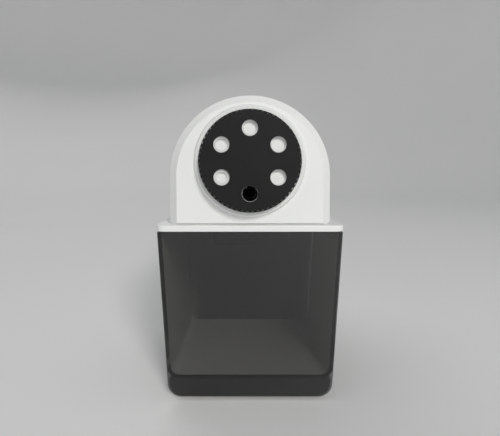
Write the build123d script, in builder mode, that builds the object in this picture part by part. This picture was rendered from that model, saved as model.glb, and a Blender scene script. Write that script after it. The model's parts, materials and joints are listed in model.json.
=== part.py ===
from build123d import *
import math
import os

# Electric pencil sharpener: an arched tower with a size dial stands on a white rim, over a smoked drawer.
# The front faces -Y, +X is to the right of someone facing it and +Z is up. The origin is on the desk,
# under the middle of the whole object. All sizes are in millimetres.

os.makedirs("parts", exist_ok=True)

# Outside: overall sizes and the lower body
overall_depth = 196.0
tower_width = 88.6
rim_width = 102.0
rim_thickness = 3.4
rim_corner_r = 5.0
rim_edge_r = 0.7
skirt_top_width = 100.6  # lower body, just under the rim
skirt_bottom_width = 89.7
skirt_height = 91.6
skirt_corner_r = 7.5
foot_height = 2.5
plinth_height = 9.5  # black base that shows under the drawer and the rear housing
plinth_inset = 0.8
arch_centre_height = 26.2  # above the rim's top
dial_centre_height = 34.5  # above the rim's top
dial_protrusion = 8.0  # in front of the tower's face
face_setback = 4.5  # tower's face behind the rim's front edge
rim_overhang = 0.9
shell_wall = 2.6
groove_height = 0.6  # shadow line where the tower stands on the rim
groove_depth = 1.0

# Front cover
cover_depth = 18.0
cover_face_t = 3.4
cover_side_t = 3.4
cover_bevel = 4.3
collar_width = 2.85
collar_height = 3.2
collar_slope = 1.3
collar_land = 0.2  # straight foot under the collar's slope
tongue_length = 3.0
tongue_t = 1.3
tongue_root = 2.0  # how far the tongue runs into the cover
fit_gap = 0.1  # between mouldings that locate in each other

# Dial
dial_r = 27.05
dial_gap = 0.7  # to the collar round it
dial_depth = 7.0
dial_plate_t = 1.6
dial_wall = 2.15
knurl_count = 60
knurl_r = 1.0
knurl_sink = 0.7  # share of a knurl that stands out of the dial's rim
hole_count = 6
mouth_r = 4.3
mouth_bevel = 0.35
mouth_edge_gap = 3.3  # from a mouth to the dial's wall
guide_bore_radii = [4.2, 3.95, 3.7, 3.45, 3.2, 2.95]  # the hole in use first, then anticlockwise
guide_disc_gap = 0.4  # to the dial's wall
guide_disc_t = 1.0
guide_gap = 0.3
plateau_gap = 0.7  # to the dial's wall
hub_r = 4.5
hub_reach = 0.2  # past the cover's inner face
washer_r = 8.0
washer_t = 1.0
detent_pitch_r = 9.0
detent_ball_r = 1.5
detent_lift = 0.05  # ball clear of the guide disc
dimple_r = 1.7
dimple_depth = 0.5
detent_pocket_floor = 2.0
spring_wire_r = 0.2
spring_coil_r = 1.1
spring_turns = 5

# Pencil way and its switch
pencil_bore_r = 4.6
guide_tube_r = 7.0
guide_tube_rear_gap = 2.5  # to the cutter carrier
lever_pivot_height = 13.3  # above the pencil's axis
lever_reach = 11.8
lever_t = 3.0
lever_width = 3.0
lever_side_gap = 0.3
lever_pin_r = 1.0
ear_t = 2.0
ear_half_length = 3.0
ear_sink = 3.0  # of the ears into the guide tube
lever_slot_wall = 1.5  # tube left behind the lever's slot
lever_slot_run = 9.5  # from the pivot to the slot's rear
lever_tail = (10.0, 2.0)  # arm that presses the switch
switch_size = (6.4, 20.0, 10.0)
switch_setback = 2.5  # behind the lever's pivot
switch_lift = 3.0  # above the lever's pivot
switch_corner_r = 0.8
switch_pin_spot = (7.0, 2.5)  # fixing holes, from the switch's middle
switch_pin_r = 1.1
tag_size = (2.8, 0.5)  # blade terminals
tag_length = 4.0
tag_pitch = 7.0

# Cutting head
running_gap = 0.06
cone_angle = 10.5
cone_r = 4.3
cutter_r = 6.0
cutter_root_r = 4.9
cutter_teeth = 14
cutter_twist = 70.0
cutter_length = 25.0
cutter_pin_r = 1.5
cutter_side_gap = 0.25  # keeps the two cutters apart at the cone's tip
cutter_neck = 0.2  # between a cutter and its pinion
pin_bore_over = 2.0  # of the pins' bores past their ends
cutter_end_gap = 0.5
orbit_module = 0.8
ring_teeth = 40
orbit_teeth = 12
orbit_face = 3.4
orbit_backlash = 0.42
ring_addendum = 0.5
orbit_addendum = 0.5
orbit_dedendum = 0.85
ring_outer_r = 19.0
ring_face = 4.2
carrier_r = 14.8
carrier_flange_t = 2.5
carrier_rear_t = 4.0
carrier_rear_r = 12.0
web_centre_x = 11.0
web_t = 3.6
web_height = 9.0
web_inset = 1.0  # webs inside the carrier's rim
shaft_r = 6.0
tail_shaft_r = 4.0
tail_reach = 3.0  # of the shaft behind the gearbox
standoff_pitch_r = 21.0
standoff_angle = 30.0
standoff_r = 2.4
ear_r = 4.0

# Gearbox and motor
drive_module = 1.0
carrier_gear_teeth = 49
idler_pinion_teeth = 14
motor_module = 0.8
idler_gear_teeth = 48
motor_pinion_teeth = 12
drive_backlash = 0.34
centre_slack = 0.12  # extra centre distance of each outside pair
carrier_gear_t = 6.0
idler_gear_t = 5.0
plate_t = 2.5
plate_half_width = 33.0
plate_foot_half_width = 16.0
plate_foot_length = 11.0
plate_head = 29.3  # plate above the pencil's axis
plate_gap = 1.0  # from a plate to the gear beside it
plate_corner_r = 5.0
plate_screw_x = 10.0
plate_screw_proud = 1.0  # above the plates' feet
post_x = 27.0
post_inset = 8.0  # below a plate's top and above the front plate's shoulder
plate_post_r = 3.5
shoulder_lift = 20.0  # front plate's shoulder above the drawer's plunger
shoulder_drop = 4.0  # rear plate's shoulder below the motor
idler_axle_r = 2.5
bush_wall = 3.0
bush_flange = 2.0
bush_flange_t = 1.2
bush_reach = 0.5
clip_width = 2.4
clip_t = 0.8
clip_slot = (3.0, 8.0)
gear_window_count = 6
carrier_window = (15.5, 4.2)  # pitch and own radius of the lightening holes
idler_window = (12.2, 3.4)
idler_hub_r = 5.5
idler_end_gap = 0.6
idler_neck = 1.0
idler_boss = 1.6
motor_r = 21.0
motor_length = 52.0
motor_wall = 1.6
motor_shaft_r = 2.0
motor_edge_r = 2.0
motor_nose_r = 7.5
motor_screw_x = 13.0
motor_notch = (6.0, 8.0)  # width and length of the slots round the can's mouth
rotor_r = 13.0
rotor_front = 8.0  # from the can's front to the laminations
rotor_length = 26.0
rotor_slots = 7
rotor_slot = (3.0, 1.6)
rotor_gap = 1.0  # to the magnets
magnet_front = 6.0
magnet_length = 30.0
magnet_split = 12.0
commutator_r = 5.0
commutator_front = 40.0  # from the can's front
commutator_length = 8.0
brush_width = 4.0
brush_length = 5.0
brush_front = 2.0  # behind the commutator's front
brush_gap = 0.06
end_cap_t = 3.5
end_cap_lip = (2.0, 3.0)  # wall and length
end_cap_vent = (12.0, 2.6)  # pitch and own radius
end_cap_vents = 6
pinion_overhang = 0.8  # motor pinion past the idler gear on each side
fan_gap = 1.5
fan_r = 17.0
fan_length = 6.5
fan_blades = 9
fan_blade_t = 1.2
fan_disc_t = 1.2
fan_hub_r = 5.0
fan_blade_root = 4.5
screw_r = 1.5
screw_head_r = 2.8
screw_head_t = 2.0
head_gap = 0.3  # round a sunk screw head
recess_length = 3.4  # cross slots
recess_width = 0.7
recess_depth = 1.0
deck_head_t = 1.2
deck_head_depth = 1.4
deck_screw_length = 11.0
base_head_depth = 2.4
base_head_gap = 0.4
base_screw_length = 15.5
pilot_depth = 12.0
rear_head_depth = 1.2
rear_recess_depth = 0.8
rear_screw_length = 9.0
dial_screw_length = 8.0
motor_head_t = 1.6
board_head_t = 1.0

# Drawer and its bay
bin_depth = 87.0
bin_wall = 2.2
bin_corner_r = 7.0
bin_floor_gap = 0.3
bin_top_gap = 0.4
bin_notch_width = 57.0
bin_notch_z = 71.0
bin_notch_r = 3.0
bin_edge_r = 0.8
bay_gap = 0.6
bay_half_width = 39.0
bay_window_bottom = 14.0
bay_window_top = 91.0
bay_panel_t = 2.0
bay_lip = 2.0
bay_panel_setback = 0.3
plunger_r = 2.0
plunger_x = 26.0
plunger_z = 34.0
plunger_travel = 1.0
plunger_gap = 0.3
plunger_reach = 4.0  # behind the bay panel
plunger_tip = 0.2  # behind the drawer's rear
plunger_tip_r = 1.0
interlock_size = (13.0, 19.0, 9.0)
interlock_tag_pitch = 6.0

# Rear and base
rear_cover_t = 2.4
rear_cover_bevel = 0.8
rear_screw_inset = 22.0  # from the plinth and from the rim
vent_count = 7
vent_pitch = 6.2
vent_z = 62.0
vent_size = (44.0, 2.6)
tower_rear_r = 16.0
column_inner_x = 34.0
column_length = 9.0
column_width = 10.0
base_skin = 2.2
base_pocket_half_width = 35.0
base_end_wall = 4.0
base_gap = 0.4
foot_boss_wall = 2.0
plate_boss_r = 5.0
foot_r = 6.4
foot_x = 27.0
foot_inset_y = 16.0
foot_recess = 1.5
foot_bevel = 0.6
gland_x = -27.0
gland_z = 26.0
gland_bore_r = 3.5
gland_outer_r = 5.5
gland_length = 9.0
gland_flange = 1.4
gland_inner_t = 2.0

# Rim openings and tower bosses
chute_outer = (54.0, 46.0)
chute_wall = 2.0
chute_lip = 4.0
chute_lip_t = 1.4
chute_height = 6.5
machine_gap = 1.0  # rim's opening in front of the gearbox
machine_rear_gap = 6.0
machine_side_gap = 2.0
tower_boss_inset = 3.2
tower_boss_front = 7.0  # behind the cover's face
tower_boss_middle = 34.0  # behind the cover
tower_boss_rear = 24.0  # in front of the rear cover
tower_boss_r = 4.0
tower_boss_height = 14.0

# Motor cradle and power board
cradle_size = (34.0, 8.0)
cradle_setback = 4.0  # in front of the motor's rear
cradle_wrap = 5.0
board_size = (60.0, 24.0)
board_t = 1.6
board_lift = 5.0
board_rear_gap = 12.0  # in front of the motor's rear
board_post_spot = (26.0, 9.0)
board_post_r = 3.0
capacitor_x = -14.0
capacitor_size = (6.0, 12.0)  # radius and height
capacitor_bevel = 0.6
rectifier_spot = (15.0, -5.0)
rectifier_size = (14.0, 5.0, 10.0)
rectifier_bevel = 1.5
cutout_spot = (13.0, 6.0)
cutout_size = (16.0, 7.0, 4.0)
cutout_corner_r = 1.0

# Levels and planes that follow
plinth_top = foot_height + plinth_height
rim_bottom = foot_height + skirt_height
deck_top = rim_bottom + rim_thickness
arch_r = tower_width / 2
arch_z = deck_top + arch_centre_height
dial_z = deck_top + dial_centre_height

dial_cavity_r = dial_r - dial_wall
guide_disc_r = dial_cavity_r - guide_disc_gap
plateau_r = dial_cavity_r - plateau_gap
hole_pitch_r = dial_cavity_r - mouth_edge_gap - mouth_r
collar_inner_r = dial_r + dial_gap
collar_outer_r = collar_inner_r + collar_width
pencil_z = dial_z - hole_pitch_r

front_y = -overall_depth / 2
rear_y = overall_depth / 2
face_y = front_y + dial_protrusion
cover_inner_y = face_y + cover_face_t
cover_rear_y = face_y + cover_depth
rim_front_y = face_y - face_setback
bin_front_y = rim_front_y + rim_overhang
bin_rear_y = bin_front_y + bin_depth
bay_y = bin_rear_y + bay_gap
bulkhead_rear_y = bay_y + shell_wall
housing_rear_y = rear_y - rim_overhang
cover_seat_y = housing_rear_y - rear_cover_t
tower_rear_y = rear_y - face_setback

guide_disc_y = front_y + dial_plate_t
plateau_y = guide_disc_y + guide_disc_t + guide_gap
hub_rear_y = cover_inner_y + hub_reach

front_plate_y = bulkhead_rear_y + bay_lip + 1.6
carrier_gear_y = front_plate_y + plate_t + plate_gap
idler_gear_y = carrier_gear_y + carrier_gear_t + 2.0
rear_plate_y = idler_gear_y + idler_gear_t + 2.5
motor_y = rear_plate_y + plate_t
motor_rear_y = motor_y + motor_length

tilt = math.radians(cone_angle)
carrier_y = cover_rear_y + 10.0
cone_y = carrier_y + 10.5
carrier_rear_y = cone_y + cutter_length + 0.4
cutter_axis_r = cone_r + cutter_side_gap + cutter_r / math.cos(tilt)  # at cone_y
ring_r = orbit_module * ring_teeth / 2
orbit_r = orbit_module * orbit_teeth / 2
orbit_at = (cutter_axis_r - (ring_r - orbit_r)) / math.sin(tilt)  # along the cutter's own axis
ring_y = cone_y + orbit_at * math.cos(tilt) - ring_face / 2

idler_z = pencil_z - drive_module * (carrier_gear_teeth + idler_pinion_teeth) / 2 - centre_slack
motor_z = idler_z - motor_module * (idler_gear_teeth + motor_pinion_teeth) / 2 - centre_slack


# Shared outlines
def facing_front(y):
    """An upright plane at depth y, X to the right and Z up. Extrusions from it grow to the front."""
    return Plane.XZ.offset(-y)


def skirt_half_width(z):
    share = (z - foot_height) / skirt_height
    return (skirt_bottom_width + (skirt_top_width - skirt_bottom_width) * share) / 2


def skirt_outline(inset, low, high, corner_r=0.0):
    """The lower body's tapered cross-section between two heights, with its lower corners rounded."""
    with BuildSketch() as outline:
        with BuildLine():
            Polyline(
                (-skirt_half_width(low) + inset, low),
                (skirt_half_width(low) - inset, low),
                (skirt_half_width(high) - inset, high),
                (-skirt_half_width(high) + inset, high),
                close=True,
            )
        make_face()
        if corner_r > 0:
            fillet(outline.vertices().group_by(Axis.Y)[0], radius=corner_r)
    return outline.sketch


def arch_outline(half_width, low):
    """The tower's cross-section: upright sides under a half circle."""
    with BuildSketch() as outline:
        with BuildLine():
            Line((half_width, low), (half_width, arch_z))
            ThreePointArc((half_width, arch_z), (0, arch_z + half_width), (-half_width, arch_z))
            Line((-half_width, arch_z), (-half_width, low))
            Line((-half_width, low), (half_width, low))
        make_face()
    return outline.sketch


def gear_outline(teeth, module, tooth_at, backlash, addendum, dedendum):
    """A straight-flanked gear with the middle of one tooth at the angle tooth_at."""
    pitch_r = teeth * module / 2
    flank = math.tan(math.radians(20))
    half_tooth = math.pi * module / 4 - backlash / 2
    corners = (
        (pitch_r - dedendum, -(half_tooth + dedendum * flank) / (pitch_r - dedendum)),
        (pitch_r + addendum, -(half_tooth - addendum * flank) / (pitch_r + addendum)),
        (pitch_r + addendum, (half_tooth - addendum * flank) / (pitch_r + addendum)),
        (pitch_r - dedendum, (half_tooth + dedendum * flank) / (pitch_r - dedendum)),
    )
    points = []
    for tooth in range(teeth):
        middle = math.radians(tooth_at) + tooth * math.tau / teeth
        for radius, swing in corners:
            points.append((radius * math.cos(middle + swing), radius * math.sin(middle + swing)))
    with BuildSketch() as outline:
        with BuildLine():
            Polyline(*points, close=True)
        make_face()
    return outline.sketch


def outside_gear(teeth, module, tooth_at):
    return gear_outline(teeth, module, tooth_at, drive_backlash * module, 0.85 * module, 1.15 * module)


def cross_slot():
    """The cross in a screw's head."""
    with BuildSketch() as cross:
        Rectangle(recess_length, recess_width)
        Rectangle(recess_width, recess_length)
    return cross.sketch


def finish(builder, name):
    builder.part.label = name
    export_step(builder.part, f"parts/{name}.step")


# Feet, base and lower housing
foot_ys = (bin_front_y + foot_inset_y, housing_rear_y - foot_inset_y)
foot_spots = [(x, y) for x in (-foot_x, foot_x) for y in foot_ys]
column_x = column_inner_x + column_width / 2
column_ys = [bulkhead_rear_y + column_length / 2, cover_seat_y - column_length / 2]
column_spots = [(x, y) for x in (-column_x, column_x) for y in column_ys]
rear_screw_zs = (plinth_top + rear_screw_inset, rim_bottom - rear_screw_inset)
rear_screw_spots = [(x, z) for x in (-column_x, column_x) for z in rear_screw_zs]
base_front_y = bin_front_y + bin_wall + base_gap
base_rear_y = housing_rear_y - base_gap
plate_screw_ys = [y + plate_t + plate_foot_length / 2 for y in (front_plate_y, rear_plate_y)]
plate_screw_spots = [(x, y) for x in (-plate_screw_x, plate_screw_x) for y in plate_screw_ys]

with BuildPart() as rubber_feet:
    with BuildSketch(Plane.XY):
        with Locations(*foot_spots):
            Circle(foot_r)
    extrude(amount=foot_height + foot_recess)
    chamfer(rubber_feet.edges().filter_by(GeomType.CIRCLE).group_by(Axis.Z)[0], foot_bevel)
finish(rubber_feet, "rubber_feet")

with BuildPart() as base_plate:
    with BuildSketch(facing_front(base_rear_y)):
        add(skirt_outline(plinth_inset, foot_height, plinth_top, skirt_corner_r - plinth_inset))
    extrude(amount=base_rear_y - base_front_y)
    with BuildSketch(Plane.XY.offset(foot_height)):
        with Locations((0, (base_front_y + base_rear_y) / 2)):
            Rectangle(2 * base_pocket_half_width, base_rear_y - base_front_y - 2 * base_end_wall)
        with Locations(*foot_spots):
            Circle(foot_r + foot_boss_wall, mode=Mode.SUBTRACT)
        with Locations(*plate_screw_spots):
            Circle(plate_boss_r, mode=Mode.SUBTRACT)
    extrude(amount=plinth_height - base_skin, mode=Mode.SUBTRACT)
    with BuildSketch(Plane.XY.offset(foot_height)):
        with Locations(*foot_spots):
            Circle(foot_r)
    extrude(amount=foot_recess, mode=Mode.SUBTRACT)
    with BuildSketch(Plane.XY.offset(foot_height)):
        with Locations(*column_spots, *plate_screw_spots):
            Circle(screw_r)
    extrude(amount=plinth_height, mode=Mode.SUBTRACT)
    with BuildSketch(Plane.XY.offset(foot_height)):
        with Locations(*column_spots, *plate_screw_spots):
            Circle(screw_head_r + base_head_gap)
    extrude(amount=screw_head_t + base_head_depth, mode=Mode.SUBTRACT)
finish(base_plate, "base_plate")

base_head_z = foot_height + base_head_depth
with BuildPart() as base_screws:
    with BuildSketch(Plane.XY.offset(base_head_z)):
        with Locations(*column_spots):
            Circle(screw_head_r)
    extrude(amount=screw_head_t)
    with BuildSketch(Plane.XY.offset(base_head_z)):
        with Locations(*column_spots):
            Circle(screw_r)
    extrude(amount=base_screw_length)
    with BuildSketch(Plane.XY.offset(base_head_z)):
        with Locations(*column_spots):
            add(cross_slot())
    extrude(amount=recess_depth, mode=Mode.SUBTRACT)
finish(base_screws, "base_screws")

with BuildPart() as main_housing:
    with BuildSketch(facing_front(cover_seat_y)):
        add(skirt_outline(0, plinth_top, rim_bottom))
    extrude(amount=cover_seat_y - bay_y)
    with BuildSketch(facing_front(cover_seat_y)):
        add(skirt_outline(shell_wall, plinth_top, rim_bottom))
    extrude(amount=cover_seat_y - bulkhead_rear_y, mode=Mode.SUBTRACT)
    with BuildSketch(facing_front(bulkhead_rear_y)):
        with Locations((0, (bay_window_bottom + bay_window_top) / 2)):
            Rectangle(2 * bay_half_width, bay_window_top - bay_window_bottom)
    extrude(amount=shell_wall, mode=Mode.SUBTRACT)
    for y in column_ys:
        with BuildSketch(facing_front(y + column_length / 2)):
            add(skirt_outline(shell_wall / 2, plinth_top, rim_bottom))
            with Locations((0, (plinth_top + rim_bottom) / 2)):
                Rectangle(2 * column_inner_x, skirt_height, mode=Mode.SUBTRACT)
        extrude(amount=column_length)
    with BuildSketch(Plane.XY.offset(plinth_top)):
        with Locations(*column_spots):
            Circle(screw_r)
    extrude(amount=pilot_depth, mode=Mode.SUBTRACT)
    with BuildSketch(Plane.XY.offset(rim_bottom)):
        with Locations(*column_spots):
            Circle(screw_r)
    extrude(amount=-pilot_depth, mode=Mode.SUBTRACT)
    with BuildSketch(facing_front(cover_seat_y)):
        with Locations(*rear_screw_spots):
            Circle(screw_r)
    extrude(amount=rear_screw_length - 1, mode=Mode.SUBTRACT)
finish(main_housing, "main_housing")

with BuildPart() as bay_panel:
    with BuildSketch(facing_front(bulkhead_rear_y)):
        with Locations((0, (bay_window_bottom + bay_window_top) / 2)):
            Rectangle(2 * (bay_half_width - fit_gap), bay_window_top - bay_window_bottom - 2 * fit_gap)
    extrude(amount=shell_wall - bay_panel_setback)
    with BuildSketch(facing_front(bulkhead_rear_y + bay_panel_t)):
        with Locations((0, (bay_window_bottom + bay_window_top) / 2)):
            Rectangle(2 * (bay_half_width + bay_lip), bay_window_top - bay_window_bottom + bay_lip)
        for side in (-1, 1):
            with Locations((side * (column_inner_x + column_width), (plinth_top + rim_bottom) / 2)):
                Rectangle(2 * (column_width + fit_gap), skirt_height, mode=Mode.SUBTRACT)
    extrude(amount=bay_panel_t)
    with BuildSketch(facing_front(bulkhead_rear_y + bay_panel_t)):
        with Locations((plunger_x, plunger_z)):
            Circle(plunger_r + plunger_gap)
    extrude(amount=bay_panel_t + shell_wall, mode=Mode.SUBTRACT)
finish(bay_panel, "bay_panel")

with BuildPart() as rear_cover:
    with BuildSketch(facing_front(housing_rear_y)):
        add(skirt_outline(0, plinth_top, rim_bottom))
    extrude(amount=rear_cover_t)
    chamfer(rear_cover.faces().sort_by(Axis.Y)[-1].edges().filter_by(Axis.X, reverse=True), rear_cover_bevel)
    with BuildSketch(facing_front(housing_rear_y)):
        with Locations((0, vent_z)):
            with GridLocations(0, vent_pitch, 1, vent_count):
                SlotOverall(*vent_size)
        with Locations((gland_x, gland_z)):
            Circle(gland_outer_r)
    extrude(amount=rear_cover_t, mode=Mode.SUBTRACT)
    for x, z in rear_screw_spots:
        with Locations(facing_front(housing_rear_y).rotated((180, 0, 0))):
            with Locations((x, -z)):
                CounterBoreHole(screw_r, screw_head_r + head_gap, rear_head_depth)
finish(rear_cover, "rear_cover")

with BuildPart() as rear_screws:
    with BuildSketch(facing_front(housing_rear_y - rear_head_depth)):
        with Locations(*rear_screw_spots):
            Circle(screw_r)
    extrude(amount=rear_screw_length)
    with BuildSketch(facing_front(housing_rear_y - rear_head_depth + rear_recess_depth)):
        with Locations(*rear_screw_spots):
            Circle(screw_head_r)
    extrude(amount=rear_recess_depth)
    with BuildSketch(facing_front(housing_rear_y - rear_head_depth + 2 * rear_recess_depth)):
        with Locations(*rear_screw_spots):
            Circle(screw_head_r)
            add(cross_slot(), mode=Mode.SUBTRACT)
    extrude(amount=rear_recess_depth)
finish(rear_screws, "rear_screws")

with BuildPart() as cord_gland:
    with BuildSketch(facing_front(rear_y)):
        with Locations((gland_x, gland_z)):
            Circle(gland_outer_r + gland_flange)
    extrude(amount=rim_overhang)
    with BuildSketch(facing_front(rear_y)):
        with Locations((gland_x, gland_z)):
            Circle(gland_outer_r)
    extrude(amount=gland_length)
    with BuildSketch(facing_front(cover_seat_y)):
        with Locations((gland_x, gland_z)):
            Circle(gland_outer_r + gland_flange)
    extrude(amount=gland_inner_t)
    with BuildSketch(facing_front(rear_y)):
        with Locations((gland_x, gland_z)):
            Circle(gland_bore_r)
    extrude(amount=gland_length, mode=Mode.SUBTRACT)
finish(cord_gland, "cord_gland")

# Drawer for the shavings
with BuildPart() as shavings_bin:
    with BuildSketch(facing_front(bin_rear_y)):
        add(skirt_outline(0, plinth_top + bin_floor_gap, rim_bottom - bin_top_gap, bin_corner_r))
    extrude(amount=bin_depth)
    with BuildSketch(facing_front(bin_front_y + bin_wall)):
        add(skirt_outline(0, foot_height, rim_bottom - bin_top_gap, skirt_corner_r))
    extrude(amount=bin_wall)
    with BuildSketch(facing_front(bin_rear_y - bin_wall)):
        low = plinth_top + bin_floor_gap + bin_wall
        add(skirt_outline(bin_wall, low, rim_bottom, bin_corner_r - bin_wall))
    extrude(amount=bin_depth - 2 * bin_wall, mode=Mode.SUBTRACT)
    with BuildSketch(facing_front(bin_rear_y)):
        with Locations((0, bin_notch_z)):
            Rectangle(bin_notch_width, skirt_height, align=(Align.CENTER, Align.MIN))
        fillet(vertices().group_by(Axis.Y)[0], radius=bin_notch_r)
    extrude(amount=bin_wall, mode=Mode.SUBTRACT)
    fillet(shavings_bin.faces().sort_by(Axis.Y)[0].edges().filter_by(Axis.X, reverse=True), radius=bin_edge_r)
finish(shavings_bin, "shavings_bin")

# Rim between the drawer and the tower
chute_spot = (0, (carrier_y + carrier_rear_y + carrier_rear_t) / 2)
machine_front_y = front_plate_y - machine_gap
machine_rear_y = cover_seat_y - machine_rear_gap
machine_bay = (2 * (plate_half_width + machine_side_gap), machine_rear_y - machine_front_y)
machine_spot = (0, (machine_front_y + machine_rear_y) / 2)
tower_boss_x = arch_r - shell_wall - tower_boss_inset
tower_boss_ys = (
    cover_inner_y + tower_boss_front,
    cover_rear_y + tower_boss_middle,
    cover_seat_y - tower_boss_rear,
)
tower_boss_spots = [(x, y) for x in (-tower_boss_x, tower_boss_x) for y in tower_boss_ys]

with BuildPart() as deck_rim:
    with BuildSketch(Plane.XY.offset(rim_bottom)):
        with Locations((0, (rim_front_y + rear_y) / 2)):
            RectangleRounded(rim_width, rear_y - rim_front_y, rim_corner_r)
    extrude(amount=rim_thickness)
    fillet(deck_rim.faces().sort_by(Axis.Z)[-1].edges(), radius=rim_edge_r)
    fillet(deck_rim.faces().sort_by(Axis.Z)[0].edges(), radius=rim_edge_r / 2)
    with BuildSketch(Plane.XY.offset(rim_bottom)):
        with Locations(chute_spot):
            Rectangle(*chute_outer)
        with Locations(machine_spot):
            Rectangle(*machine_bay)
        with Locations(*tower_boss_spots, *column_spots):
            Circle(screw_r)
    extrude(amount=rim_thickness, mode=Mode.SUBTRACT)
    with BuildSketch(Plane.XY.offset(rim_bottom)):
        with Locations(*tower_boss_spots):
            Circle(screw_head_r + head_gap)
    extrude(amount=deck_head_depth, mode=Mode.SUBTRACT)
    with BuildSketch(Plane.XY.offset(deck_top)):
        with Locations(*column_spots):
            Circle(screw_head_r + head_gap)
    extrude(amount=-deck_head_depth, mode=Mode.SUBTRACT)
finish(deck_rim, "deck_rim")

tower_head_z = rim_bottom + deck_head_depth - deck_head_t
with BuildPart() as tower_screws:
    with BuildSketch(Plane.XY.offset(tower_head_z)):
        with Locations(*tower_boss_spots):
            Circle(screw_head_r)
    extrude(amount=deck_head_t)
    with BuildSketch(Plane.XY.offset(tower_head_z)):
        with Locations(*tower_boss_spots):
            Circle(screw_r)
    extrude(amount=deck_screw_length)
finish(tower_screws, "tower_screws")

with BuildPart() as deck_screws:
    with BuildSketch(Plane.XY.offset(deck_top - deck_head_depth)):
        with Locations(*column_spots):
            Circle(screw_head_r)
    extrude(amount=deck_head_t)
    with BuildSketch(Plane.XY.offset(deck_top - deck_head_depth)):
        with Locations(*column_spots):
            Circle(screw_r)
    extrude(amount=-deck_screw_length)
finish(deck_screws, "deck_screws")

with BuildPart() as shavings_chute:
    with BuildSketch(Plane.XY.offset(rim_bottom)):
        with Locations(chute_spot):
            Rectangle(chute_outer[0] - 2 * fit_gap, chute_outer[1] - 2 * fit_gap)
    extrude(amount=chute_height)
    with BuildSketch(Plane.XY.offset(deck_top)):
        with Locations(chute_spot):
            Rectangle(chute_outer[0] + 2 * chute_lip, chute_outer[1] + 2 * chute_lip)
    extrude(amount=chute_lip_t)
    with BuildSketch(Plane.XY.offset(rim_bottom)):
        with Locations(chute_spot):
            Rectangle(chute_outer[0] - 2 * chute_wall, chute_outer[1] - 2 * chute_wall)
    extrude(amount=chute_height, mode=Mode.SUBTRACT)
finish(shavings_chute, "shavings_chute")

# Front cover: bevelled face, collar, the plateau behind the dial and the pencil's guide tube
lever_pivot_z = pencil_z + lever_pivot_height
guide_tube_y = carrier_y - guide_tube_rear_gap
lever_slot_rear_y = guide_tube_y - lever_slot_wall
lever_pivot_y = lever_slot_rear_y - lever_slot_run
lever_slot_front_y = lever_pivot_y - lever_width
ear_x = lever_t / 2 + lever_side_gap + ear_t / 2
detent_angle = math.radians(90 - 180 / hole_count)
detent_spot = (detent_pitch_r * math.cos(detent_angle), dial_z + detent_pitch_r * math.sin(detent_angle))

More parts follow.
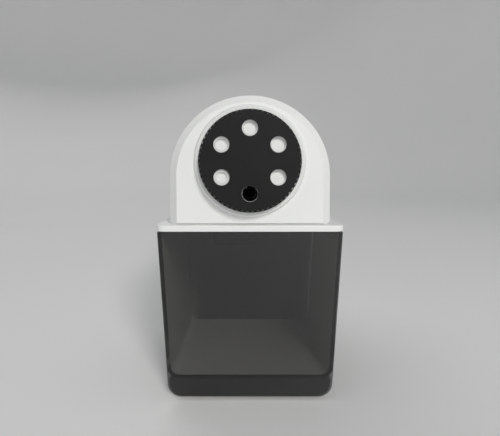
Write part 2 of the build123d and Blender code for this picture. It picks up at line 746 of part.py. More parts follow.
with BuildPart() as front_cover:
    with BuildSketch(facing_front(cover_rear_y)):
        add(arch_outline(arch_r, deck_top))
    extrude(amount=cover_depth)
    chamfer(front_cover.faces().sort_by(Axis.Y)[0].edges().sort_by(Axis.Z)[1:], cover_bevel)
    with BuildSketch(facing_front(cover_rear_y)):
        add(arch_outline(arch_r - cover_side_t, deck_top))
    extrude(amount=cover_depth - cover_face_t, mode=Mode.SUBTRACT)
    with BuildSketch(Plane.XY.offset(deck_top)):
        Rectangle(2 * tower_width, 4 * cover_depth - 4 * face_y)
        with Locations((0, cover_rear_y)):
            Rectangle(
                tower_width - 2 * groove_depth,
                cover_depth - groove_depth,
                align=(Align.CENTER, Align.MAX),
                mode=Mode.SUBTRACT,
            )
    extrude(amount=groove_height, mode=Mode.SUBTRACT)
    with BuildSketch(facing_front(cover_rear_y + tongue_length)):
        add(arch_outline(arch_r - shell_wall - fit_gap, deck_top))
        add(arch_outline(arch_r - shell_wall - fit_gap - tongue_t, deck_top - groove_depth), mode=Mode.SUBTRACT)
    extrude(amount=tongue_length + tongue_root)
    with BuildSketch(facing_front(face_y)):
        with Locations((0, dial_z)):
            Circle(collar_outer_r)
    extrude(amount=collar_height)
    collar_rim = front_cover.faces().sort_by(Axis.Y)[0].edges()
    chamfer(collar_rim, length=collar_height - collar_land, length2=collar_slope)
    with BuildSketch(facing_front(face_y)):
        with Locations((0, dial_z)):
            Circle(collar_inner_r)
    extrude(amount=collar_height, mode=Mode.SUBTRACT)
    with BuildSketch(facing_front(face_y)):
        with Locations((0, dial_z)):
            Circle(plateau_r)
    extrude(amount=face_y - plateau_y)
    with BuildSketch(facing_front(guide_tube_y)):
        with Locations((0, pencil_z)):
            Circle(guide_tube_r)
    extrude(amount=guide_tube_y - cover_inner_y)
    with BuildSketch(facing_front(lever_pivot_y + ear_half_length)):
        for side in (-1, 1):
            with Locations((side * ear_x, pencil_z + guide_tube_r - ear_sink)):
                Rectangle(ear_t, lever_pivot_height - guide_tube_r + 2 * ear_sink, align=(Align.CENTER, Align.MIN))
    extrude(amount=2 * ear_half_length)
    with BuildSketch(Plane.XY.offset(pencil_z)):
        with Locations((0, lever_slot_rear_y)):
            Rectangle(
                lever_t + 2 * lever_side_gap,
                lever_slot_rear_y - lever_slot_front_y,
                align=(Align.CENTER, Align.MAX),
            )
    extrude(amount=lever_pivot_height, mode=Mode.SUBTRACT)
    with BuildSketch(facing_front(guide_tube_y)):
        with Locations((0, pencil_z)):
            Circle(pencil_bore_r)
        with Locations((0, dial_z)):
            Circle(hub_r + running_gap)
    extrude(amount=guide_tube_y - plateau_y, mode=Mode.SUBTRACT)
    with BuildSketch(facing_front(cover_inner_y - detent_pocket_floor)):
        with Locations(detent_spot):
            Circle(detent_ball_r + running_gap)
    extrude(amount=cover_inner_y - plateau_y, mode=Mode.SUBTRACT)
    with BuildSketch(Plane.YZ.offset(-ear_x - ear_t)):
        with Locations((lever_pivot_y, lever_pivot_z)):
            Circle(lever_pin_r)
    extrude(amount=2 * (ear_x + ear_t), mode=Mode.SUBTRACT)
    for x in (-tower_boss_x, tower_boss_x):
        with BuildSketch(Plane.XY.offset(deck_top)):
            with Locations((x, tower_boss_ys[0])):
                Circle(tower_boss_r)
        extrude(amount=tower_boss_height)
    with BuildSketch(Plane.XY.offset(deck_top)):
        with Locations(*tower_boss_spots):
            Circle(screw_r)
    extrude(amount=deck_screw_length, mode=Mode.SUBTRACT)
finish(front_cover, "front_cover")

with BuildPart() as tower_shell:
    with BuildSketch(facing_front(tower_rear_y)):
        add(arch_outline(arch_r, deck_top))
    extrude(amount=tower_rear_y - cover_rear_y)
    fillet(tower_shell.faces().sort_by(Axis.Y)[-1].edges().sort_by(Axis.Z)[1:], radius=tower_rear_r)
    openings = [tower_shell.faces().sort_by(Axis.Y)[0], tower_shell.faces().sort_by(Axis.Z)[0]]
    offset(amount=-shell_wall, openings=openings)
    with BuildSketch(Plane.XY.offset(deck_top)):
        Rectangle(2 * tower_width, 2 * overall_depth)
        with Locations((0, cover_rear_y)):
            Rectangle(
                tower_width - 2 * groove_depth,
                tower_rear_y - groove_depth - cover_rear_y,
                align=(Align.CENTER, Align.MIN),
                mode=Mode.SUBTRACT,
            )
    extrude(amount=groove_height, mode=Mode.SUBTRACT)
    for x, y in tower_boss_spots:
        if y > cover_rear_y:
            with BuildSketch(Plane.XY.offset(deck_top)):
                with Locations((x, y)):
                    Circle(tower_boss_r)
                    Circle(screw_r, mode=Mode.SUBTRACT)
            extrude(amount=tower_boss_height)
finish(tower_shell, "tower_shell")

# Size dial
hole_angles = [-90 + 360 / hole_count * step for step in range(hole_count)]
dial_rear_y = front_y + dial_depth

with BuildPart() as size_dial:
    with BuildSketch(facing_front(dial_rear_y)):
        with Locations((0, dial_z)):
            Circle(dial_r - knurl_sink * knurl_r)
            with PolarLocations(dial_r - knurl_r, knurl_count):
                Circle(knurl_r)
    extrude(amount=dial_depth)
    with BuildSketch(facing_front(dial_rear_y)):
        with Locations((0, dial_z)):
            Circle(dial_cavity_r)
            Circle(hub_r, mode=Mode.SUBTRACT)
    extrude(amount=dial_depth - dial_plate_t, mode=Mode.SUBTRACT)
    with BuildSketch(facing_front(hub_rear_y)):
        with Locations((0, dial_z)):
            Circle(hub_r)
    extrude(amount=hub_rear_y - guide_disc_y)
    with BuildSketch(facing_front(guide_disc_y)):
        with Locations((0, dial_z)):
            with PolarLocations(hole_pitch_r, hole_count, start_angle=-90):
                Circle(mouth_r)
    extrude(amount=dial_plate_t, mode=Mode.SUBTRACT)
    rims = size_dial.faces().sort_by(Axis.Y)[0].edges().filter_by(GeomType.CIRCLE)
    chamfer(rims.filter_by(lambda edge: abs(edge.radius - mouth_r) < 0.001), mouth_bevel)
    with BuildSketch(facing_front(hub_rear_y)):
        with Locations((0, dial_z)):
            Circle(screw_r)
    extrude(amount=dial_screw_length, mode=Mode.SUBTRACT)
finish(size_dial, "size_dial")

with BuildPart() as guide_disc:
    with BuildSketch(facing_front(guide_disc_y + guide_disc_t)):
        with Locations((0, dial_z)):
            Circle(guide_disc_r)
            Circle(hub_r, mode=Mode.SUBTRACT)
        for angle, bore_r in zip(hole_angles, guide_bore_radii):
            turn = math.radians(angle)
            with Locations((hole_pitch_r * math.cos(turn), dial_z + hole_pitch_r * math.sin(turn))):
                Circle(bore_r, mode=Mode.SUBTRACT)
    extrude(amount=guide_disc_t)
    dimple_y = guide_disc_y + guide_disc_t + dimple_r - dimple_depth
    with Locations(facing_front(dimple_y)):
        with Locations((0, dial_z)):
            with PolarLocations(detent_pitch_r, hole_count, start_angle=90 - 180 / hole_count):
                Sphere(dimple_r, mode=Mode.SUBTRACT)
finish(guide_disc, "guide_disc")

with BuildPart() as dial_washer:
    with BuildSketch(facing_front(hub_rear_y + washer_t)):
        with Locations((0, dial_z)):
            Circle(washer_r)
            Circle(screw_r, mode=Mode.SUBTRACT)
    extrude(amount=washer_t)
finish(dial_washer, "dial_washer")

with BuildPart() as dial_screw:
    with BuildSketch(facing_front(hub_rear_y + washer_t)):
        with Locations((0, dial_z)):
            Circle(screw_r)
    extrude(amount=dial_screw_length)
    with BuildSketch(facing_front(hub_rear_y + washer_t + screw_head_t)):
        with Locations((0, dial_z)):
            Circle(screw_head_r)
    extrude(amount=screw_head_t)
    with BuildSketch(facing_front(hub_rear_y + washer_t + screw_head_t)):
        with Locations((0, dial_z)):
            add(cross_slot())
    extrude(amount=recess_depth, mode=Mode.SUBTRACT)
finish(dial_screw, "dial_screw")

detent_ball_y = plateau_y - guide_gap + detent_lift + detent_ball_r
detent_pocket_y = cover_inner_y - detent_pocket_floor
with BuildPart() as detent_ball:
    with Locations((detent_spot[0], detent_ball_y, detent_spot[1])):
        Sphere(detent_ball_r)
finish(detent_ball, "detent_ball")

spring_front_y = detent_ball_y + detent_ball_r + spring_wire_r
spring_length = detent_pocket_y - spring_wire_r - spring_front_y
with BuildPart() as detent_spring:
    with BuildLine():
        coil = Helix(
            pitch=spring_length / spring_turns,
            height=spring_length,
            radius=spring_coil_r,
            center=(detent_spot[0], spring_front_y, detent_spot[1]),
            direction=(0, 1, 0),
        )
    with BuildSketch(Plane(origin=coil @ 0, z_dir=coil % 0)):
        Circle(spring_wire_r)
    sweep(is_frenet=True)
finish(detent_spring, "detent_spring")

# Pencil switch: a lever hangs into the pencil's way and presses the switch beside it
with BuildPart() as lever_pin:
    with BuildSketch(Plane.YZ.offset(-(lever_t / 2 + lever_side_gap + ear_t))):
        with Locations((lever_pivot_y, lever_pivot_z)):
            Circle(lever_pin_r)
    extrude(amount=lever_t + 2 * lever_side_gap + 2 * ear_t)
finish(lever_pin, "lever_pin")

with BuildPart() as pencil_lever:
    with BuildSketch(Plane.YZ.offset(-lever_t / 2)):
        with Locations((lever_pivot_y, lever_pivot_z)):
            Circle(lever_width)
        with Locations((lever_pivot_y, lever_pivot_z - (lever_reach - lever_width / 2) / 2)):
            Rectangle(lever_width, lever_reach - lever_width / 2)
        with Locations((lever_pivot_y, lever_pivot_z - lever_reach + lever_width / 2)):
            Circle(lever_width / 2)
        with Locations((lever_pivot_y + lever_tail[0] / 2, lever_pivot_z + lever_tail[1] / 2)):
            Rectangle(*lever_tail)
        with Locations((lever_pivot_y, lever_pivot_z)):
            Circle(lever_pin_r + running_gap, mode=Mode.SUBTRACT)
    extrude(amount=lever_t)
finish(pencil_lever, "pencil_lever")

switch_x = lever_t / 2 + lever_side_gap + ear_t + switch_size[0] / 2
switch_y = lever_pivot_y + switch_setback
switch_z = lever_pivot_z + switch_lift
switch_pin_spots = [(switch_y + side * switch_pin_spot[0], switch_z - switch_pin_spot[1]) for side in (-1, 1)]
with BuildPart() as pencil_switch:
    with BuildSketch(Plane.YZ.offset(switch_x - switch_size[0] / 2)):
        with Locations((switch_y, switch_z)):
            RectangleRounded(switch_size[1], switch_size[2], switch_corner_r)
        with Locations(*switch_pin_spots):
            Circle(switch_pin_r, mode=Mode.SUBTRACT)
    extrude(amount=switch_size[0])
    with BuildSketch(Plane.XY.offset(switch_z + switch_size[2] / 2)):
        with Locations((switch_x, switch_y)):
            with GridLocations(0, tag_pitch, 1, 3):
                Rectangle(tag_size[1], tag_size[0])
    extrude(amount=tag_length)
finish(pencil_switch, "pencil_switch")

# Cutting head: two helical cutters roll round a fixed ring gear as the carrier turns
cutter_planes = []
for side in (1, -1):
    cutter_planes.append(
        Plane(
            origin=(0, cone_y, pencil_z + side * cutter_axis_r),
            x_dir=(side, 0, 0),
            z_dir=(0, math.cos(tilt), -side * math.sin(tilt)),
        )
    )
standoff_swing = math.radians(standoff_angle)
standoff_spots = []
for x_side in (-1, 1):
    for z_side in (-1, 1):
        x = x_side * standoff_pitch_r * math.cos(standoff_swing)
        z = pencil_z + z_side * standoff_pitch_r * math.sin(standoff_swing)
        standoff_spots.append((x, z))
pin_front = -(cone_y - carrier_y) / math.cos(tilt)
pin_rear = (carrier_rear_y + carrier_rear_t - cone_y) / math.cos(tilt)

with BuildPart() as ring_gear:
    with BuildSketch(facing_front(ring_y + ring_face)):
        with Locations((0, pencil_z)):
            Circle(ring_outer_r)
        with Locations(*standoff_spots):
            Circle(ear_r)
            Circle(screw_r, mode=Mode.SUBTRACT)
        with Locations((0, pencil_z)):
            add(
                gear_outline(ring_teeth, orbit_module, 90, 0, orbit_module, ring_addendum),
                mode=Mode.SUBTRACT,
            )
    extrude(amount=ring_face)
finish(ring_gear, "ring_gear")

with BuildPart() as cutter_carrier:
    with BuildSketch(facing_front(carrier_y + carrier_flange_t)):
        with Locations((0, pencil_z)):
            Circle(carrier_r)
    extrude(amount=carrier_flange_t)
    with BuildSketch(facing_front(carrier_rear_y + carrier_rear_t)):
        with Locations((0, pencil_z)):
            Circle(carrier_rear_r)
    extrude(amount=carrier_rear_t)
    with BuildSketch(facing_front(carrier_rear_y)):
        with Locations((-web_centre_x, pencil_z), (web_centre_x, pencil_z)):
            Rectangle(web_t, web_height)
        with Locations((0, pencil_z)):
            Circle(carrier_r - web_inset, mode=Mode.INTERSECT)
    extrude(amount=carrier_rear_y - carrier_y - carrier_flange_t)
    with BuildSketch(facing_front(carrier_gear_y + carrier_gear_t)):
        with Locations((0, pencil_z)):
            Circle(shaft_r)
    extrude(amount=carrier_gear_y + carrier_gear_t - carrier_rear_y - carrier_rear_t)
    with BuildSketch(facing_front(motor_y + tail_reach)):
        with Locations((0, pencil_z)):
            Circle(tail_shaft_r)
    extrude(amount=motor_y + tail_reach - carrier_gear_y - carrier_gear_t)
    with BuildSketch(facing_front(carrier_y + carrier_flange_t)):
        with Locations((0, pencil_z)):
            Circle(pencil_bore_r)
    extrude(amount=carrier_flange_t, mode=Mode.SUBTRACT)
    for plane in cutter_planes:
        with BuildSketch(plane.offset(pin_front - pin_bore_over)):
            Circle(cutter_pin_r)
        extrude(amount=pin_rear - pin_front + 2 * pin_bore_over, mode=Mode.SUBTRACT)
finish(cutter_carrier, "cutter_carrier")

with BuildPart() as cutter_pins:
    for plane in cutter_planes:
        with BuildSketch(plane.offset(pin_front)):
            Circle(cutter_pin_r)
        extrude(amount=pin_rear - pin_front)
finish(cutter_pins, "cutter_pins")


orbit_pinion = gear_outline(
    orbit_teeth, orbit_module, -90, orbit_backlash, orbit_addendum, orbit_dedendum
)


def cutter_section():
    """A ring of raked cutting teeth."""
    corners = ((0.0, cutter_r), (0.28, cutter_r - 0.1), (0.62, cutter_root_r), (0.98, cutter_root_r))
    points = []
    for tooth in range(cutter_teeth):
        for share, radius in corners:
            turn = (tooth + share) * math.tau / cutter_teeth
            points.append((radius * math.cos(turn), radius * math.sin(turn)))
    return points


for plane, name in zip(cutter_planes, ("cutter_upper", "cutter_lower")):
    with BuildPart() as cutter:
        with BuildSketch(plane.offset(orbit_at + orbit_face / 2 + cutter_neck)) as teeth:
            with BuildLine():
                Polyline(*cutter_section(), close=True)
            make_face()
        twisted = Solid.extrude_linear_with_rotation(
            teeth.sketch.faces()[0],
            plane.offset(orbit_at + orbit_face / 2 + cutter_neck).origin,
            plane.z_dir * (cutter_length - orbit_at - orbit_face / 2 - cutter_neck - cutter_end_gap),
            cutter_twist,
        )
        add(twisted)
        with BuildSketch(plane.offset(orbit_at - orbit_face / 2)):
            add(orbit_pinion)
        extrude(amount=orbit_face)
        with BuildSketch(plane.offset(orbit_at + orbit_face / 2)):
            Circle(cutter_root_r - 1)
        extrude(amount=cutter_neck)
        with BuildSketch(plane.offset(orbit_at - orbit_face)):
            Circle(cutter_pin_r + running_gap)
        extrude(amount=2 * cutter_length, mode=Mode.SUBTRACT)
    finish(cutter, name)

with BuildPart() as head_standoffs:
    with BuildSketch(facing_front(front_plate_y)):
        with Locations(*standoff_spots):
            Circle(standoff_r)
            Circle(screw_r, mode=Mode.SUBTRACT)
    extrude(amount=front_plate_y - ring_y - ring_face)
finish(head_standoffs, "head_standoffs")

with BuildPart() as head_screws:
    with BuildSketch(facing_front(ring_y)):
        with Locations(*standoff_spots):
            Circle(screw_head_r)
    extrude(amount=screw_head_t)
    with BuildSketch(facing_front(front_plate_y + plate_t)):
        with Locations(*standoff_spots):
            Circle(screw_r)
    extrude(amount=front_plate_y + plate_t - ring_y)
    with BuildSketch(facing_front(ring_y - screw_head_t + recess_depth)):
        with Locations(*standoff_spots):
            add(cross_slot())
    extrude(amount=recess_depth, mode=Mode.SUBTRACT)
finish(head_screws, "head_screws")

# Gearbox plates, bushes and gears
plate_top = pencil_z + plate_head
front_shoulder_z = plunger_z + shoulder_lift
rear_shoulder_z = motor_z - motor_r - shoulder_drop
post_zs = (plate_top - post_inset, front_shoulder_z + post_inset)
post_spots = [(x, z) for x in (-post_x, post_x) for z in post_zs]
front_bush_r = shaft_r + bush_wall
rear_bush_r = tail_shaft_r + bush_wall
motor_screw_spots = [(x, motor_z) for x in (-motor_screw_x, motor_screw_x)]

for name, y, shoulder_z, shaft_hole_r in (
    ("front_gear_plate", front_plate_y, front_shoulder_z, front_bush_r),
    ("rear_gear_plate", rear_plate_y, rear_shoulder_z, rear_bush_r),
):
    with BuildPart() as gear_plate:
        with BuildSketch(facing_front(y + plate_t)):
            with Locations((0, (plate_top + shoulder_z) / 2)):
                RectangleRounded(2 * plate_half_width, plate_top - shoulder_z, plate_corner_r)
            with Locations((0, plinth_top)):
                Rectangle(
                    2 * plate_foot_half_width,
                    shoulder_z - plinth_top + plate_corner_r,
                    align=(Align.CENTER, Align.MIN),
                )
            with Locations((0, pencil_z)):
                Circle(shaft_hole_r, mode=Mode.SUBTRACT)
            with Locations((0, idler_z)):
                Circle(idler_axle_r, mode=Mode.SUBTRACT)
            with Locations(*post_spots):
                Circle(screw_r, mode=Mode.SUBTRACT)
            if name == "front_gear_plate":
                with Locations(*standoff_spots):
                    Circle(screw_r, mode=Mode.SUBTRACT)
            else:
                with Locations((0, motor_z)):
                    Circle(motor_nose_r, mode=Mode.SUBTRACT)
                with Locations(*motor_screw_spots):
                    Circle(screw_r, mode=Mode.SUBTRACT)
        extrude(amount=plate_t)
        with BuildSketch(Plane.XY.offset(plinth_top)):
            with Locations((0, y + plate_t)):
                Rectangle(
                    2 * plate_foot_half_width,
                    plate_foot_length,
                    align=(Align.CENTER, Align.MIN),
                )
            with Locations(*plate_screw_spots):
                Circle(screw_r, mode=Mode.SUBTRACT)
        extrude(amount=plate_t)
    finish(gear_plate, name)

with BuildPart() as plate_screws:
    for x, y in plate_screw_spots:
        with BuildSketch(Plane.XY.offset(base_head_z)):
            with Locations((x, y)):
                Circle(screw_r)
        extrude(amount=plinth_top + plate_t + plate_screw_proud - base_head_z)
        with BuildSketch(Plane.XY.offset(base_head_z)):
            with Locations((x, y)):
                Circle(screw_head_r)
        extrude(amount=screw_head_t)
finish(plate_screws, "plate_screws")

with BuildPart() as gearbox_posts:
    with BuildSketch(facing_front(rear_plate_y)):
        with Locations(*post_spots):
            Circle(plate_post_r)
            Circle(screw_r, mode=Mode.SUBTRACT)
    extrude(amount=rear_plate_y - front_plate_y - plate_t)
finish(gearbox_posts, "gearbox_posts")

with BuildPart() as gearbox_screws:
    with BuildSketch(facing_front(motor_y)):
        with Locations(*post_spots):
            Circle(screw_r)
    extrude(amount=motor_y - front_plate_y)
    with BuildSketch(facing_front(motor_y + screw_head_t)):
        with Locations(*post_spots):
            Circle(screw_head_r)
    extrude(amount=screw_head_t)
    with BuildSketch(facing_front(motor_y + screw_head_t)):
        with Locations(*post_spots):
            add(cross_slot())
    extrude(amount=recess_depth, mode=Mode.SUBTRACT)
finish(gearbox_screws, "gearbox_screws")

with BuildPart() as front_bush:
    with BuildSketch(facing_front(front_plate_y + plate_t + bush_reach)):
        with Locations((0, pencil_z)):
            Circle(front_bush_r)
    extrude(amount=plate_t + bush_reach)
    with BuildSketch(facing_front(front_plate_y)):
        with Locations((0, pencil_z)):
            Circle(front_bush_r + bush_flange)
    extrude(amount=bush_flange_t)
    with BuildSketch(facing_front(front_plate_y + plate_t + bush_reach)):
        with Locations((0, pencil_z)):
            Circle(shaft_r + running_gap)
    extrude(amount=2 * plate_t + bush_flange_t, mode=Mode.SUBTRACT)
finish(front_bush, "front_bush")

with BuildPart() as rear_bush:
    with BuildSketch(facing_front(motor_y)):
        with Locations((0, pencil_z)):
            Circle(rear_bush_r)
    extrude(amount=plate_t)
    with BuildSketch(facing_front(rear_plate_y)):
        with Locations((0, pencil_z)):
            Circle(rear_bush_r + bush_flange)
    extrude(amount=bush_flange_t)
    with BuildSketch(facing_front(motor_y)):
        with Locations((0, pencil_z)):
            Circle(tail_shaft_r + running_gap)
    extrude(amount=2 * plate_t + bush_flange_t, mode=Mode.SUBTRACT)
finish(rear_bush, "rear_bush")

with BuildPart() as shaft_clip:
    with BuildSketch(facing_front(motor_y + 2 * clip_t)):
        with Locations((0, pencil_z)):
            Circle(tail_shaft_r + clip_width)
            Circle(tail_shaft_r, mode=Mode.SUBTRACT)
        with Locations((0, pencil_z - tail_shaft_r)):
            Rectangle(*clip_slot, mode=Mode.SUBTRACT)
    extrude(amount=clip_t)
finish(shaft_clip, "shaft_clip")

with BuildPart() as carrier_gear:
    with BuildSketch(facing_front(carrier_gear_y + carrier_gear_t)):
        with Locations((0, pencil_z)):
            add(outside_gear(carrier_gear_teeth, drive_module, -90))
            Circle(shaft_r, mode=Mode.SUBTRACT)
            with PolarLocations(carrier_window[0], gear_window_count):
                Circle(carrier_window[1], mode=Mode.SUBTRACT)
    extrude(amount=carrier_gear_t)
finish(carrier_gear, "carrier_gear")

with BuildPart() as idler_axle:
    with BuildSketch(facing_front(motor_y)):
        with Locations((0, idler_z)):
            Circle(idler_axle_r)
    extrude(amount=motor_y - front_plate_y)
finish(idler_axle, "idler_axle")

with BuildPart() as idler_gear:
    with BuildSketch(facing_front(idler_gear_y - idler_neck)):
        with Locations((0, idler_z)):
            add(outside_gear(idler_pinion_teeth, drive_module, 90 + 180 / idler_pinion_teeth))
    extrude(amount=idler_gear_y - idler_neck - front_plate_y - plate_t - idler_end_gap)
    with BuildSketch(facing_front(idler_gear_y)):
        with Locations((0, idler_z)):
            Circle(idler_hub_r)
    extrude(amount=idler_neck)
    with BuildSketch(facing_front(idler_gear_y + idler_gear_t)):
        with Locations((0, idler_z)):
            add(outside_gear(idler_gear_teeth, motor_module, -90))
    extrude(amount=idler_gear_t)
    with BuildSketch(facing_front(idler_gear_y + idler_gear_t + idler_boss)):
        with Locations((0, idler_z)):
            Circle(idler_hub_r)
    extrude(amount=idler_boss)
    with BuildSketch(facing_front(rear_plate_y)):
        with Locations((0, idler_z)):
            Circle(idler_axle_r + running_gap)
    extrude(amount=rear_plate_y - front_plate_y, mode=Mode.SUBTRACT)
    with BuildSketch(facing_front(idler_gear_y + idler_gear_t)):
        with Locations((0, idler_z)):
            with PolarLocations(idler_window[0], gear_window_count):
                Circle(idler_window[1])
    extrude(amount=idler_gear_t, mode=Mode.SUBTRACT)
finish(idler_gear, "idler_gear")

# Motor
with BuildPart() as motor_case:
    with BuildSketch(facing_front(motor_rear_y)):
        with Locations((0, motor_z)):
            Circle(motor_r)
    extrude(amount=motor_length)
    fillet(motor_case.faces().sort_by(Axis.Y)[0].edges(), radius=motor_edge_r)
    with BuildSketch(facing_front(motor_rear_y)):
        with Locations((0, motor_z)):
            Circle(motor_r - motor_wall)
    extrude(amount=motor_length - motor_wall, mode=Mode.SUBTRACT)
    with BuildSketch(facing_front(motor_y)):
        with Locations((0, motor_z)):
            Circle(motor_nose_r)
    extrude(amount=plate_t)
    with BuildSketch(facing_front(motor_rear_y)):
        with Locations((0, motor_z)):
            Circle(motor_shaft_r + running_gap)
        with Locations(*motor_screw_spots):
            Circle(screw_r)
    extrude(amount=motor_length + 2 * plate_t, mode=Mode.SUBTRACT)
    with BuildSketch(facing_front(motor_rear_y)):
        with Locations((0, motor_z)):
            with PolarLocations(motor_r, 4, start_angle=45):
                Rectangle(motor_notch[0], motor_notch[0])
    extrude(amount=motor_notch[1], mode=Mode.SUBTRACT)
finish(motor_case, "motor_case")

with BuildPart() as motor_screws:
    with BuildSketch(facing_front(rear_plate_y)):
        with Locations(*motor_screw_spots):
            Circle(screw_head_r)
    extrude(amount=motor_head_t)
    with BuildSketch(facing_front(motor_y + motor_wall)):
        with Locations(*motor_screw_spots):
            Circle(screw_r)
    extrude(amount=motor_wall + plate_t)
finish(motor_screws, "motor_screws")

with BuildPart() as motor_end_cap:
    with BuildSketch(facing_front(motor_rear_y + end_cap_t)):
        with Locations((0, motor_z)):
            Circle(motor_r)
    extrude(amount=end_cap_t)
    with BuildSketch(facing_front(motor_rear_y)):
        with Locations((0, motor_z)):
            Circle(motor_r - motor_wall - fit_gap)
            Circle(motor_r - motor_wall - fit_gap - end_cap_lip[0], mode=Mode.SUBTRACT)
    extrude(amount=end_cap_lip[1])
    with BuildSketch(facing_front(motor_rear_y + end_cap_t)):
        with Locations((0, motor_z)):
            Circle(motor_shaft_r + running_gap)
            with PolarLocations(end_cap_vent[0], end_cap_vents, start_angle=180 / end_cap_vents):
                Circle(end_cap_vent[1])
    extrude(amount=end_cap_t, mode=Mode.SUBTRACT)
finish(motor_end_cap, "motor_end_cap")

magnet_outer_r = motor_r - motor_wall
magnet_inner_r = rotor_r + rotor_gap
with BuildPart() as motor_magnets:
    with BuildSketch(facing_front(motor_y + magnet_front + magnet_length)):
        with Locations((0, motor_z)):
            Circle(magnet_outer_r)
            Circle(magnet_inner_r, mode=Mode.SUBTRACT)
            Rectangle(2 * motor_r, magnet_split, mode=Mode.SUBTRACT)
    extrude(amount=magnet_length)
finish(motor_magnets, "motor_magnets")

commutator_y = motor_y + commutator_front
with BuildPart() as motor_brushes:
    with BuildSketch(facing_front(commutator_y + brush_front + brush_length)):
        for side in (-1, 1):
            with Locations((side * (commutator_r + brush_gap), motor_z)):
                Rectangle(
                    magnet_outer_r - commutator_r - brush_gap - fit_gap,
                    brush_width,
                    align=(Align.MIN if side > 0 else Align.MAX, Align.CENTER),
                )
        with Locations((0, motor_z)):
            Circle(commutator_r + brush_gap, mode=Mode.SUBTRACT)
    extrude(amount=brush_length)
finish(motor_brushes, "motor_brushes")

rotor_rear_y = motor_y + rotor_front + rotor_length
with BuildPart() as motor_rotor:
    with BuildSketch(facing_front(rotor_rear_y)):
        with Locations((0, motor_z)):
            Circle(rotor_r)
            with PolarLocations(rotor_r, rotor_slots):
                Rectangle(*rotor_slot, mode=Mode.SUBTRACT)
            Circle(motor_shaft_r, mode=Mode.SUBTRACT)
    extrude(amount=rotor_length)
    with BuildSketch(facing_front(commutator_y + commutator_length)):
        with Locations((0, motor_z)):
            Circle(commutator_r)
            Circle(motor_shaft_r, mode=Mode.SUBTRACT)
    extrude(amount=commutator_y + commutator_length - rotor_rear_y)
finish(motor_rotor, "motor_rotor")

motor_pinion_y = idler_gear_y - pinion_overhang
fan_y = motor_rear_y + end_cap_t + fan_gap
with BuildPart() as motor_shaft:
    with BuildSketch(facing_front(fan_y + fan_length)):
        with Locations((0, motor_z)):
            Circle(motor_shaft_r)
    extrude(amount=fan_y + fan_length - motor_pinion_y)
finish(motor_shaft, "motor_shaft")

with BuildPart() as motor_pinion:
    with BuildSketch(facing_front(idler_gear_y + idler_gear_t + pinion_overhang)):
        with Locations((0, motor_z)):
            add(outside_gear(motor_pinion_teeth, motor_module, 90 + 180 / motor_pinion_teeth))
            Circle(motor_shaft_r, mode=Mode.SUBTRACT)
    extrude(amount=idler_gear_t + 2 * pinion_overhang)
finish(motor_pinion, "motor_pinion")

with BuildPart() as cooling_fan:
    with BuildSketch(facing_front(fan_y + fan_length)):
        with Locations((0, motor_z)):
            Circle(fan_hub_r)
            Circle(motor_shaft_r, mode=Mode.SUBTRACT)
    extrude(amount=fan_length)
    with BuildSketch(facing_front(fan_y + fan_disc_t)):
        with Locations((0, motor_z)):
            Circle(fan_r)
            Circle(motor_shaft_r, mode=Mode.SUBTRACT)
    extrude(amount=fan_disc_t)
    with BuildSketch(facing_front(fan_y + fan_length)):
        with Locations((0, motor_z)):
            with PolarLocations((fan_r + fan_blade_root) / 2, fan_blades):
                Rectangle(fan_r - fan_blade_root, fan_blade_t)
    extrude(amount=fan_length - fan_disc_t / 2)
finish(cooling_fan, "cooling_fan")

with BuildPart() as motor_cradle:
    with BuildSketch(facing_front(motor_rear_y - cradle_setback)):
        with Locations((0, plinth_top)):
            cradle_height = motor_z - motor_r - plinth_top + cradle_wrap
            Rectangle(cradle_size[0], cradle_height, align=(Align.CENTER, Align.MIN))
        with Locations((0, motor_z)):
            Circle(motor_r, mode=Mode.SUBTRACT)
    extrude(amount=cradle_size[1])
finish(motor_cradle, "motor_cradle")

# Power board and drawer interlock
board_y = (rear_plate_y + plate_t + plate_foot_length + motor_rear_y - board_rear_gap) / 2
board_z = plinth_top + board_lift
post_step_x, post_step_y = board_post_spot
board_spots = [(x, board_y + y) for x in (-post_step_x, post_step_x) for y in (-post_step_y, post_step_y)]
with BuildPart() as power_board:
    with BuildSketch(Plane.XY.offset(board_z)):
        with Locations((0, board_y)):
            Rectangle(*board_size)
        with Locations(*board_spots):
            Circle(screw_r, mode=Mode.SUBTRACT)
    extrude(amount=board_t)
finish(power_board, "power_board")

with BuildPart() as board_posts:
    with BuildSketch(Plane.XY.offset(plinth_top)):
        with Locations(*board_spots):
            Circle(board_post_r)
    extrude(amount=board_lift)
    with BuildSketch(Plane.XY.offset(board_z)):
        with Locations(*board_spots):
            Circle(screw_r)
    extrude(amount=board_t)
    with BuildSketch(Plane.XY.offset(board_z + board_t)):
        with Locations(*board_spots):
            Circle(screw_head_r)
    extrude(amount=board_head_t)
finish(board_posts, "board_posts")

board_top = board_z + board_t
with BuildPart() as filter_capacitor:
    with BuildSketch(Plane.XY.offset(board_top)):
        with Locations((capacitor_x, board_y)):
            Circle(capacitor_size[0])
    extrude(amount=capacitor_size[1])
    chamfer(filter_capacitor.faces().sort_by(Axis.Z)[-1].edges(), capacitor_bevel)
finish(filter_capacitor, "filter_capacitor")

with BuildPart() as bridge_rectifier:
    with BuildSketch(Plane.XY.offset(board_top)):
        with Locations((rectifier_spot[0], board_y + rectifier_spot[1])):
            Rectangle(rectifier_size[0], rectifier_size[1])
    extrude(amount=rectifier_size[2])
    chamfer(bridge_rectifier.edges().filter_by(Axis.Z).sort_by(Axis.X)[0], rectifier_bevel)
finish(bridge_rectifier, "bridge_rectifier")

with BuildPart() as thermal_cutout:
    with BuildSketch(Plane.XY.offset(board_top)):
        with Locations((cutout_spot[0], board_y + cutout_spot[1])):
            RectangleRounded(cutout_size[0], cutout_size[1], cutout_corner_r)
    extrude(amount=cutout_size[2])
finish(thermal_cutout, "thermal_cutout")

